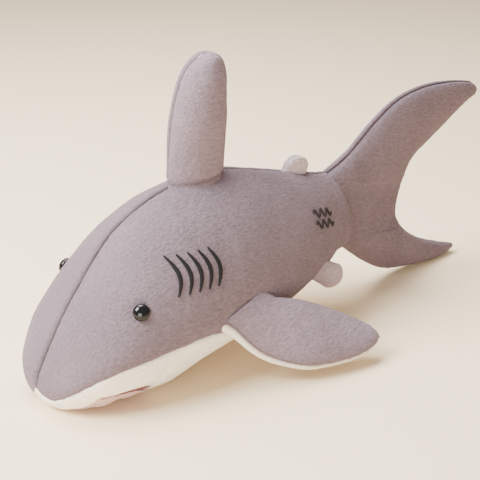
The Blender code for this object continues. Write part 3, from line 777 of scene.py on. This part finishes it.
def build_side(side, word):
    grid = RUNS[side][0] * np.array([1.0, side, 1.0])
    normals = grid_normals(grid) * side
    if np.sum(normals[..., 1] * side) < 0:
        normals = -normals
    back, seam = edge_distances(grid)
    rise, depth = plush_relief(grid, ((back, 1.0), (seam, 0.3)), 3.0 + side)
    rise -= fold_depth(grid) + eye_dimple(grid, side) + tail_crease(grid)
    outer = grid + normals * rise[..., None]
    outer[:, -1] = seam_line(side)
    outer[0] = NOSE_TIP
    outer[..., 1] = side * np.maximum(side * outer[..., 1], CENTRE_GAP)
    inner = outer - normals * SKIN
    inner[..., 1] = side * np.maximum(side * inner[..., 1], CENTRE_GAP)
    made = shell(f"side_skin_{word}", outer, inner, depth)
    return dress(made, PLUSH_GREY, "torso", (f"side_panel_{word}",))


def jaw_outline(grow):
    """The jaw's half oval seen from above, from one end of its hinge to the other."""
    return [
        (
            JAW_HINGE_X + grow - (JAW_LENGTH + 2 * grow) * math.cos(t),
            (JAW_HALF_WIDTH + grow) * math.sin(t),
        )
        for t in np.linspace(-math.pi / 2, math.pi / 2, JAW_OUTLINE_STEPS + 1)
    ]


def block(name, grow, top):
    """A solid of the jaw's outline, from below the floor up to this height."""
    return loft(name, [[(x, y, z) for x, y in jaw_outline(grow)] for z in (BLOCK_BOTTOM, top)])


def build_belly():
    left = RUNS[-1][1] * np.array([1.0, -1.0, 1.0])
    grid = np.concatenate([left, RUNS[1][1][:, ::-1][:, 1:]], axis=1)
    normals = grid_normals(grid)
    if np.sum(normals[..., 2]) > 0:
        normals = -normals
    first, last = edge_distances(grid)
    rise, depth = plush_relief(grid, ((first, 0.3), (last, 0.3)), 8.0, 0.0006)
    rise -= fold_depth(grid)
    outer = grid + normals * rise[..., None]
    outer[:, 0] = seam_line(-1)
    outer[:, -1] = seam_line(1)
    outer[0] = NOSE_TIP
    outer[..., 2] = np.maximum(outer[..., 2], LOWEST)
    inner = grid - normals * (SKIN + 0.0006)
    made = shell("belly_skin", outer, inner, depth)
    room = block("jaw_room", 0.0, MOUTH_ROOF)
    modify(made, "BOOLEAN", operation="DIFFERENCE", object=room, solver="MANIFOLD")
    drop(room)
    return dress(made, PLUSH_WHITE, "torso", ("belly_panel",))


def body_ring_solid(name, inset, first=0, step=1):
    sides, unders = body_runs(inset, 12)
    rings = []
    for side, under in zip(sides[first::step], unders[first::step]):
        half = np.vstack([side[::2], under[2::2]])
        left = half[1:-1] * np.array([1.0, -1.0, 1.0])
        rings.append(np.vstack([half, left[::-1]]))
    return loft(name, rings)


def build_jaw():
    """The stuffed lip: shut toward the nose, with a small gap near the corner of the mouth."""
    form = body_ring_solid("jaw_form", 0.0)
    made = block("jaw_skin", -JAW_CLEARANCE - JAW_EXTRA, JAW_TOP - 0.0002)
    modify(made, "BOOLEAN", operation="INTERSECT", object=form, solver="EXACT")
    modify(made, "REMESH", mode="VOXEL", voxel_size=0.0016)
    modify(made, "SMOOTH", factor=0.6, iterations=9)
    points, normals = points_of(made)
    x = points[:, 0].copy()
    lobes = 0.0012 * np.clip((LIP_SWELL_X - x) / LIP_FADE, 0.0, 1.0)
    lobes = lobes + 0.0009 * np.sin((x + 0.2975) * math.tau / LIP_WAVE) * (points[:, 2] > 0.004)
    rise = 0.0007 + lobes + 0.0004 * lumps(points, 0.009, 4.0) + 0.0002 * lumps(points, 0.003, 6.0)
    side_on = np.clip(np.abs(points[:, 1]) / 0.05, 0.0, 1.0)
    points = points + normals * (rise * side_on)[:, None]
    shut = np.clip((LIP_SHUT_X - points[:, 0]) / LIP_FADE, 0.0, 1.0)
    gap = np.exp(-(((points[:, 0] - LIP_GAP_X) / LIP_GAP_REACH) ** 2))
    top = JAW_TOP + shut * LIP_SHUT_RISE - LIP_GAP_DEPTH * gap
    points[:, 2] += (top - JAW_TOP) * np.clip((points[:, 2] - 0.010) / 0.010, 0.0, 1.0)
    points[:, 2] = np.clip(points[:, 2], LOWEST, top)
    set_points(made, points)
    set_shade(made, np.zeros(len(points)))
    drop(form)
    return dress(made, PLUSH_LIP_TINT_AND_SHADE, "jaw", ("jaw_panel", "jaw_stuffing"))


def tooth_row(name, side, height, body, node):
    """A flat felt strip along one side of the mouth, cut into points."""
    rings = []
    steps = TOOTH_COUNT * TOOTH_STEPS
    for i in range(steps + 1):
        x = TEETH_FRONT_X + i * TOOTH_COUNT * TOOTH_PITCH / steps
        phase = (i % TOOTH_STEPS) / TOOTH_STEPS
        point = TOOTH_REACH * (1 - abs(2 * phase - 1)) ** 0.8 + 0.0004
        set_back = TEETH_SET_BACK * min(max((TEETH_CORNER_X - x) / 0.003, 0.0), 1.0)
        edge = half_width(x, height) - set_back - 0.0008
        low = height + 0.0004 * math.sin(i * 1.3)
        high = low + TOOTH_THICK
        root, tip = side * (edge - TOOTH_ROOT), side * (edge + point)
        rings.append([(x, root, low), (x, tip, low), (x, tip, high), (x, root, high)])
    made = loft(name, rings)
    return dress(made, FELT_WHITE, body, (node,))


# ---------------------------------------------------------------- eyes and embroidery
def facing(point, normal):
    return Matrix.Translation(point) @ normal.to_track_quat("Z", "Y").to_matrix().to_4x4()


def build_eye(side, word):
    """A domed safety eye: a low rim, a polished dome and a shank through the cloth."""
    point, normal = body_surface(EYE_X, EYE_Z, side)
    profile = [(0.0, EYE_HEIGHT)]
    for t in np.linspace(0.08, math.pi / 2, 16):
        profile.append((EYE_RADIUS * math.sin(t), EYE_HEIGHT * (0.16 + 0.84 * math.cos(t))))
    profile += [(EYE_RADIUS * 1.01, EYE_HEIGHT * 0.10), (EYE_RADIUS * 0.97, 0.0003)]
    profile += [(0.0018, 0.0), (0.0016, -0.0085), (0.0, -0.0085)]
    rings = []
    for r, z in profile:
        rings.append([(max(r, 1e-5) * math.cos(a), max(r, 1e-5) * math.sin(a), z)
                      for a in np.linspace(0, math.tau, 40, endpoint=False)])
    made = loft(f"eye_dome_{word}", rings)
    made.matrix_world = facing(point, normal)
    return dress(made, EYE, "torso", (f"eye_{word}",))


def satin_bar(name, path, widths, side, material, node):
    """A bar of satin stitch whose strands lie side by side across it."""
    places = [body_surface(x, z, side, 0.0004) for x, z in path]
    rings = []
    for i, (point, normal) in enumerate(places):
        before = places[max(i - 1, 0)][0]
        after = places[min(i + 1, len(places) - 1)][0]
        across = (after - before).cross(normal).normalized()
        strand = 1.0 + (0.10 if i % 2 else -0.06)
        ring = []
        for k in range(12):
            angle = k * math.tau / 12
            wide = widths[i] * strand * math.cos(angle)
            high = (0.0013 if math.sin(angle) > 0 else 0.0016) * math.sin(angle)
            ring.append(tuple(point + across * wide + normal * high))
        rings.append(ring)
    made = loft(name, rings)
    return dress(made, material, "torso", (node,))


def build_embroidery():
    share = np.linspace(0.0, 1.0, 57)
    taper = 0.22 + 0.78 * np.sin(np.pi * share) ** 0.7
    for side, word in ((-1, "left"), (1, "right")):
        for i in range(GILL_COUNT):
            xs = GILL_FIRST_X + i * GILL_PITCH + GILL_BULGE * np.sin(np.pi * share)
            zs = GILL_TOP_Z - GILL_LENGTH * share
            node = f"gill_{word}_{i + 1}"
            widths = GILL_HALF_WIDTH * taper
            satin_bar(f"gill_stitch_{word}_{i + 1}", list(zip(xs, zs)), widths, side, THREAD, node)
    share = np.linspace(0.0, 1.0, 91)
    taper = 0.5 + 0.6 * np.sin(np.pi * share) ** 0.5
    for z, word in zip(WAVE_Z, ("upper", "lower")):
        xs = WAVE_START_X + WAVE_LENGTH * share
        zs = z + WAVE_HEIGHT * np.sin(math.tau * WAVE_HUMPS * share) - 0.008 * share
        widths = WAVE_HALF_WIDTH * taper
        satin_bar(
            f"wave_stitch_{word}", list(zip(xs, zs)), widths, -1, THREAD_GREY, f"tail_wave_{word}"
        )


# ---------------------------------------------------------------- fins
ROOT_ROWS = 4  # rows of a fin that lie inside the body
FRONT_SEAM = 0.22  # how far round the section the front seam lies, in radians
PECTORAL_ROWS = 58
PECTORAL_SEAM = FRONT_SEAM + 0.55 * np.exp(-np.arange(PECTORAL_ROWS + ROOT_ROWS) / 14)
PECTORAL_PIVOT = (-0.1215, -0.0973, 0.0704)
PECTORAL_OUT = (0.2755, -0.642, -0.715)
PELVIC_PIVOT = (0.0150, -0.0617, 0.0740)
PELVIC_OUT = (0.30, -0.75, -0.59)


def fin_shape(root_in, root_half, half, tip_half, cap, edge_share):
    return dict(
        root_in=root_in, root_half=root_half, half=half, tip_half=tip_half, cap=cap, edge_share=edge_share
    )


DORSAL_SHAPE = fin_shape(0.016, 0.0235, 0.029, 0.014, 0.09, 0.62)
SECOND_DORSAL_SHAPE = fin_shape(0.010, 0.0075, 0.0075, 0.0055, 0.40, 0.45)
PECTORAL_SHAPE = fin_shape(0.018, 0.0105, 0.0150, 0.0085, 0.16, 0.14)
PELVIC_SHAPE = fin_shape(0.012, 0.0060, 0.0068, 0.0055, 0.40, 0.40)
TAIL_LOWER_ROWS = 34
TAIL_ROOT_ROWS = 26
TAIL_UPPER_ROWS = 40
TAIL_COLS = 34
TAIL_HALF = 0.0165
TAIL_TIP_SHARE = 0.035  # the part of each lobe over which its tip is rounded
NOTCH_LOW = 0.34  # shares of the notch's edge that belong to the lower lobe, up to here,
NOTCH_HIGH = 0.53  # and to the upper lobe, from here


def fin_side(leads, trails, halves, outward, cols, open_fronts=None, seam=0.0):
    """One side of a fin as a grid: rows along the span, columns from the front edge to the back.

    The section is an oval. A seam angle moves the front seam round it, onto the other side if negative.
    """
    rows = []
    for i, (lead, trail, half, normal) in enumerate(zip(leads, trails, halves, outward)):
        turn = seam if np.isscalar(seam) else seam[i]
        angles = np.linspace(turn, math.pi, cols + 1)
        u = (1 - np.cos(angles)) / 2
        pillow = np.sin(angles)
        front = 0.0 if open_fronts is None else open_fronts[i]
        if front > 0:
            tongue = np.sqrt(np.maximum(1 - u**2, 0.0)) * (0.55 + 0.45 * np.exp(-5 * u))
            pillow = (1 - front) * pillow + front * tongue
        rows.append(lead + (trail - lead) * u[:, None] + normal * (half * pillow)[:, None])
    return np.array(rows)


def skins(
    grids, names, slots, materials, body, root, seed, replaced, fill, creases=None, root_crease=0.0
):
    """The two panels of a fin, sewn at their edges, and the stuffing between them."""
    middle = (grids[0] + grids[1]) / 2
    made = []
    for k, grid in enumerate(grids):
        normals = grid_normals(grid)
        if np.sum(normals * (grid - middle)) < 0:
            normals = -normals
        front, back = edge_distances(grid)
        rise, depth = plush_relief(grid, ((front, 1.0), (back, 1.0)), seed + k)
        if creases is not None:
            rise = rise - creases(grid)
        # A groove round the fin's root with darker colour: partly the dark stitches there, partly painted
        # shade in the groove.
        if root_crease:
            along_span = row_distances(grid) - row_distances(grid)[ROOT_ROWS - 1]
            ring = np.exp(-((along_span / 0.0022) ** 2)) * np.ones(grid.shape[:2])
            rise = rise - 0.0016 * ring
            depth = np.maximum(depth, root_crease * ring)
        made.append((grid + normals * rise[..., None], normals, depth))
    for edge in ((slice(None), 0), (slice(None), -1), (-1, slice(None))):
        shared = (made[0][0][edge] + made[1][0][edge]) / 2
        made[0][0][edge] = shared
        made[1][0][edge] = shared
    for k, (outer, normals, depth) in enumerate(made):
        gap = np.linalg.norm(outer - middle, axis=2, keepdims=True)
        inner = outer - normals * SKIN * np.clip(gap / 0.004, 0.15, 1.0)
        skin = shell(names[k], outer, inner, depth)
        dress(skin, materials[k], None, (replaced[k],))
        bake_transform(skin)
    rings = []
    for r in range(2, len(middle) - 9, 3):
        top, low = grids[0][r], grids[1][r]
        thick = np.linalg.norm(top - low, axis=1).max() / 2
        if thick < 0.004:
            continue
        share = max(1 - 0.0055 / thick, 0.3)
        chord = middle[r].mean(axis=0)
        ring = np.vstack([top[1:-1:3], low[1:-1:3][::-1]])
        rings.append(chord + (ring - chord) * share)
    filling = loft(fill[0], rings)
    dress(filling, FILL, None, (fill[1],))
    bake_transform(filling)


def fin_rows(fin, side, rows, root_in, root_half, half, tip_half, cap, edge_share):
    """Front and back points, half thickness and outward direction of each row.

    The first rows lie this far inside the body. The tip is rounded over this share of the span,
    and its width there shrinks to the edge share.
    """
    flip = np.array([1.0, -side, 1.0])
    shares = np.sin(np.linspace(0.0, 1.0, rows) * math.pi / 2) ** 1.1
    leads = along(fin[0], shares) * flip
    trails = along(fin[1], shares) * flip
    spans = (leads + trails) / 2
    inward = spans[0] - spans[3]
    inward = inward / np.linalg.norm(inward)
    extra = [root_in * t for t in np.linspace(1.0, 0.0, ROOT_ROWS, endpoint=False)]
    leads = np.vstack([[leads[0] + inward * d for d in extra], leads])
    trails = np.vstack([[trails[0] + inward * d for d in extra], trails])
    shares = np.concatenate([np.zeros(len(extra)), shares])
    spans = (leads + trails) / 2
    outwards = np.gradient(spans, axis=0)
    normals = np.cross(trails - leads, outwards)
    normals = normals / np.linalg.norm(normals, axis=1, keepdims=True) * side
    halves = np.interp(shares, (0.0, 0.45, 0.75, 1.0), (root_half, half, 0.85 * half, tip_half))
    close = np.clip((shares - (1 - cap)) / cap, 0.0, 1.0)
    rounding = np.sqrt(np.maximum(1 - close**2, 0.0))
    halves = halves * np.maximum(rounding, 0.02)
    keep = edge_share + (1 - edge_share) * rounding
    leads = spans + (leads - spans) * keep[:, None]
    trails = spans + (trails - spans) * keep[:, None]
    return leads, trails, halves, normals


def build_fin(fin, side, rows, cols, shape, seam=0.0, **sewing):
    """A fin from its front and back edges. Sewing is what skins() takes beside the grids."""
    leads, trails, halves, normals = fin_rows(fin, side, rows, **shape)
    grids = [
        fin_side(leads, trails, halves, normals, cols, seam=seam),
        fin_side(leads, trails, halves, -normals, cols, seam=-1.0 * seam),
    ]
    skins(grids, **sewing)


def build_tail():
    """The tail's rows run from the lower tip, round the root inside the body, to the upper tip."""
    end_side, end_under = half_section(STATIONS[-1])
    end = np.vstack([end_side, end_under[1:]])

    def width_at(z):
        return float(np.interp(-z, -end[:, 2], end[:, 1]))

    lower_rows, root_rows, upper_rows = TAIL_LOWER_ROWS, TAIL_ROOT_ROWS, TAIL_UPPER_ROWS
    root_low, root_high = TAIL_LOWER_EDGE[-1][1], TAIL_UPPER_EDGE[0][1]
    heights = np.linspace(root_low, root_high, root_rows + 2)[1:-1]
    root = []
    for z in heights:
        share = (z - root_low) / (root_high - root_low)
        edge = np.interp(share, (0.0, 1.0), (TAIL_LOWER_EDGE[-1][0], TAIL_UPPER_EDGE[0][0]))
        root.append((edge + (0.060 - edge) * math.sin(math.pi * share) ** 0.5, z))
    low_share = (1 - np.cos(np.linspace(0.0, math.pi, lower_rows))) / 2
    high_share = (1 - np.cos(np.linspace(0.0, math.pi, upper_rows))) / 2
    low, high = along(TAIL_LOWER_EDGE, low_share), along(TAIL_UPPER_EDGE, high_share)
    leads = np.vstack([low, root, high])
    count = len(leads)
    shares = np.linspace(0.0, 1.0, count)
    matched = (0.0, (lower_rows - 1) / (count - 1), (lower_rows + root_rows) / (count - 1), 1.0)
    spots = np.interp(shares, matched, (0.0, NOTCH_LOW, NOTCH_HIGH, 1.0))
    spots[:lower_rows] = NOTCH_LOW * low_share
    spots[-upper_rows:] = NOTCH_HIGH + 0.47 * high_share
    trails = along(TAIL_NOTCH, spots)
    leads = np.column_stack([leads[:, 0], np.zeros(count), leads[:, 1]])
    trails = np.column_stack([trails[:, 0], np.zeros(count), trails[:, 1]])
    halves, fronts = [], []
    for i in range(count):
        from_tip = 1.0
        if i < lower_rows:
            from_tip = low_share[i]
        if i >= count - upper_rows:
            from_tip = 1 - high_share[i - count + upper_rows]
        round_off = math.sqrt(1 - (1 - min(from_tip / TAIL_TIP_SHARE, 1.0)) ** 2)
        centre = (leads[i] + trails[i]) / 2
        leads[i] = centre + (leads[i] - centre) * (0.2 + 0.8 * round_off)
        trails[i] = centre + (trails[i] - centre) * (0.2 + 0.8 * round_off)
        half = TAIL_HALF * from_tip**0.3
        front = 0.0
        if lower_rows - 1 <= i <= lower_rows + root_rows:
            z = leads[i][2]
            front = (0.74 + 0.23 * min(max((z - 0.12) / 0.04, 0.0), 1.0)) * width_at(z)
        half = max(half, front, 0.0006)
        halves.append(half)
        fronts.append(min(front / half, 1.0))
    fronts = np.convolve(np.pad(fronts, 1, mode="edge"), np.ones(3) / 3, "valid")
    halves = np.convolve(np.pad(halves, 2, mode="edge"), np.ones(5) / 5, "valid")
    turns = 0.34 * np.clip((np.arange(count) - lower_rows - root_rows - 1) / 8, 0.0, 1.0)
    grids = []
    for side in (-1.0, 1.0):
        outward = np.tile([0.0, side, 0.0], (count, 1))
        grid = fin_side(leads, trails, halves, outward, TAIL_COLS, fronts, -side * turns)
        for _ in range(4):
            padded = np.pad(grid[..., 1], ((3, 3), (0, 0)), mode="edge")
            grid[..., 1] = sum(padded[k : k + count] for k in range(7)) / 7
        grids.append(grid)

    def creases(grid):
        """A bent crease across the tail's root, with a low swell behind it."""
        bend = grid[..., 0] - (0.1130 + 0.0120 * np.sin((grid[..., 2] - 0.075) / 0.11 * math.pi))
        fade = np.clip((grid[..., 2] - 0.07) / 0.03, 0, 1) * np.clip((0.20 - grid[..., 2]) / 0.03, 0, 1)
        crease = 0.0018 * np.exp(-((bend / 0.004) ** 2))
        swell = 0.0008 * np.exp(-(((bend - 0.010) / 0.007) ** 2))
        return (crease - swell) * fade

    skins(
        grids,
        names=("tail_skin_left", "tail_skin_right"),
        slots=("plush_grey", "plush_grey"),
        materials=(PLUSH_GREY, PLUSH_GREY),
        body="tail",
        root=((TAIL_HINGE_X - 0.004, 0.0, 0.11), (TAIL_HINGE_X + 0.050, 0.0, 0.11)),
        seed=21.0,
        replaced=("tail_panel_left", "tail_panel_right"),
        fill=("tail_fill", "tail_stuffing"),
        creases=creases,
    )


def build_fins():
    build_fin(
        DORSAL,
        side=-1,
        rows=58,
        cols=36,
        shape=DORSAL_SHAPE,
        seam=FRONT_SEAM,
        names=("dorsal_skin_left", "dorsal_skin_right"),
        slots=("plush_grey", "plush_grey"),
        materials=(PLUSH_FIN_TINT_AND_LIGHT, PLUSH_FIN_TINT_AND_LIGHT),
        body="dorsal_fin",
        root=((-0.1275, 0.0, 0.2130), (-0.1275, 0.0, 0.2420)),
        seed=31.0,
        replaced=("dorsal_panel_left", "dorsal_panel_right"),
        fill=("dorsal_fill", "dorsal_stuffing"),
        root_crease=0.8,
    )
    build_fin(
        SECOND_DORSAL,
        side=-1,
        rows=22,
        cols=20,
        shape=SECOND_DORSAL_SHAPE,
        names=("second_dorsal_skin_left", "second_dorsal_skin_right"),
        slots=("plush_pale", "plush_pale"),
        materials=(PLUSH_PALE, PLUSH_PALE),
        body="second_dorsal_fin",
        root=((0.0190, 0.0, 0.1850), (0.0215, 0.0, 0.1980)),
        seed=41.0,
        replaced=("second_dorsal_left", "second_dorsal_right"),
        fill=("second_dorsal_fill", "second_dorsal_stuffing"),
    )
    for side, word in ((-1, "left"), (1, "right")):
        build_fin(
            PECTORAL,
            side=side,
            rows=PECTORAL_ROWS,
            cols=34,
            shape=PECTORAL_SHAPE,
            seam=PECTORAL_SEAM,
            names=(f"pectoral_top_skin_{word}", f"pectoral_bottom_skin_{word}"),
            slots=("plush_grey", "plush_white"),
            materials=(PLUSH_FIN_TINT_AND_LIGHT, PLUSH_WHITE),
            body=f"pectoral_fin_{word}",
            root=pivot_span(PECTORAL_PIVOT, PECTORAL_OUT, side, -0.010, 0.020),
            seed=51.0 + side,
            replaced=(f"pectoral_top_{word}", f"pectoral_bottom_{word}"),
            fill=(f"pectoral_fill_{word}", f"pectoral_stuffing_{word}"),
        )
        build_fin(
            PELVIC,
            side=side,
            rows=22,
            cols=20,
            shape=PELVIC_SHAPE,
            names=(f"pelvic_top_skin_{word}", f"pelvic_bottom_skin_{word}"),
            slots=("plush_pale", "plush_white"),
            materials=(PLUSH_PINK, PLUSH_WHITE),
            body=f"pelvic_fin_{word}",
            root=pivot_span(PELVIC_PIVOT, PELVIC_OUT, side, -0.006, 0.006),
            seed=61.0 + side,
            replaced=(f"pelvic_top_{word}", f"pelvic_bottom_{word}"),
            fill=(f"pelvic_fill_{word}", f"pelvic_stuffing_{word}"),
        )


def pivot_span(pivot, direction, side, before, after):
    """Two points on a line through a side fin's hinge, this far before and after it."""
    d = Vector(direction).normalized()
    p = Vector(pivot)
    points = []
    for distance in (before, after):
        q = p + d * distance
        points.append((q.x, -side * q.y, q.z))
    return points


# ---------------------------------------------------------------- camera, lights, floor
CAMERA_PLACE = (-0.8065, -0.9188, 0.6192)
CAMERA_TILT = math.radians(23.0)
CAMERA_HEADING = math.radians(-38.949)
CAMERA_LENS = 82.5
FLOOR_REACH = 6
FLOOR_COLOUR = (0.87, 0.70, 0.47, 1.0)
SKY_COLOUR = (1.0, 0.90, 0.80, 1.0)
SKY_STRENGTH = 0.68
LAMPS = (  # name, place, size, power, colour
    ("key", (-1.4, 0.35, 1.5), 1.0, 125.0, (0.92, 0.96, 1.0)),
    ("top", (0.0, 0.7, 1.8), 1.2, 72.0, (1.0, 0.98, 0.96)),
    ("front", (-1.2, -1.0, 0.3), 0.7, 17.0, (1.0, 0.96, 0.92)),
)


def build_stage():
    camera_data = bpy.data.cameras.new("camera")
    camera_data.lens = CAMERA_LENS
    camera_data.sensor_width = 36.0
    camera_data.clip_start = 0.05
    camera = link_object("camera", camera_data)
    camera.location = CAMERA_PLACE
    level = math.cos(CAMERA_TILT)
    look = Vector(
        (
            -math.sin(CAMERA_HEADING) * level,
            math.cos(CAMERA_HEADING) * level,
            -math.sin(CAMERA_TILT),
        )
    )
    camera.rotation_euler = look.to_track_quat("-Z", "Y").to_euler()
    bpy.context.scene.camera = camera

    far = FLOOR_REACH
    corners = [(-far, -far, 0), (far, -far, 0), (far, far, 0), (-far, far, 0)]
    floor = object_from("floor", corners, [(0, 1, 2, 3)])
    material, _, _, shader = shader_of("floor")
    shader.inputs["Base Color"].default_value = FLOOR_COLOUR
    shader.inputs["Roughness"].default_value = 0.75
    floor.data.materials.append(material)

    world = bpy.data.worlds.new("world")
    world.use_nodes = True
    world.node_tree.nodes["Background"].inputs["Color"].default_value = SKY_COLOUR
    world.node_tree.nodes["Background"].inputs["Strength"].default_value = SKY_STRENGTH
    bpy.context.scene.world = world
    for name, place, size, power, colour in LAMPS:
        lamp_data = bpy.data.lights.new(name, "AREA")
        lamp_data.size = size
        lamp_data.energy = power
        lamp_data.color = colour
        lamp = link_object(name, lamp_data)
        lamp.location = place
        lamp.rotation_euler = (-Vector(place)).to_track_quat("-Z", "Y").to_euler()


def main():
    for side, word in ((-1, "left"), (1, "right")):
        build_side(side, word)
        build_eye(side, word)
        for part, height, body in TOOTH_ROWS:
            tooth_row(f"{part}_tooth_row_{word}", side, height, body, f"{part}_teeth_{word}")
    build_belly()
    build_jaw()
    fill = body_ring_solid("body_fill", FILL_DEPTH, 29, 3)
    dress(fill, FILL, "torso", ("body_stuffing",))
    build_embroidery()
    build_fins()
    build_tail()
    for node, material in (
        ("mouth_lining", FELT_RED),
        ("jaw_lining", FELT_RED),
        ("eye_washer_left", WASHER),
        ("eye_washer_right", WASHER),
    ):
        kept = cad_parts[node]
        for material_slot in kept.material_slots:
            material_slot.material = material
    build_stage()


main()
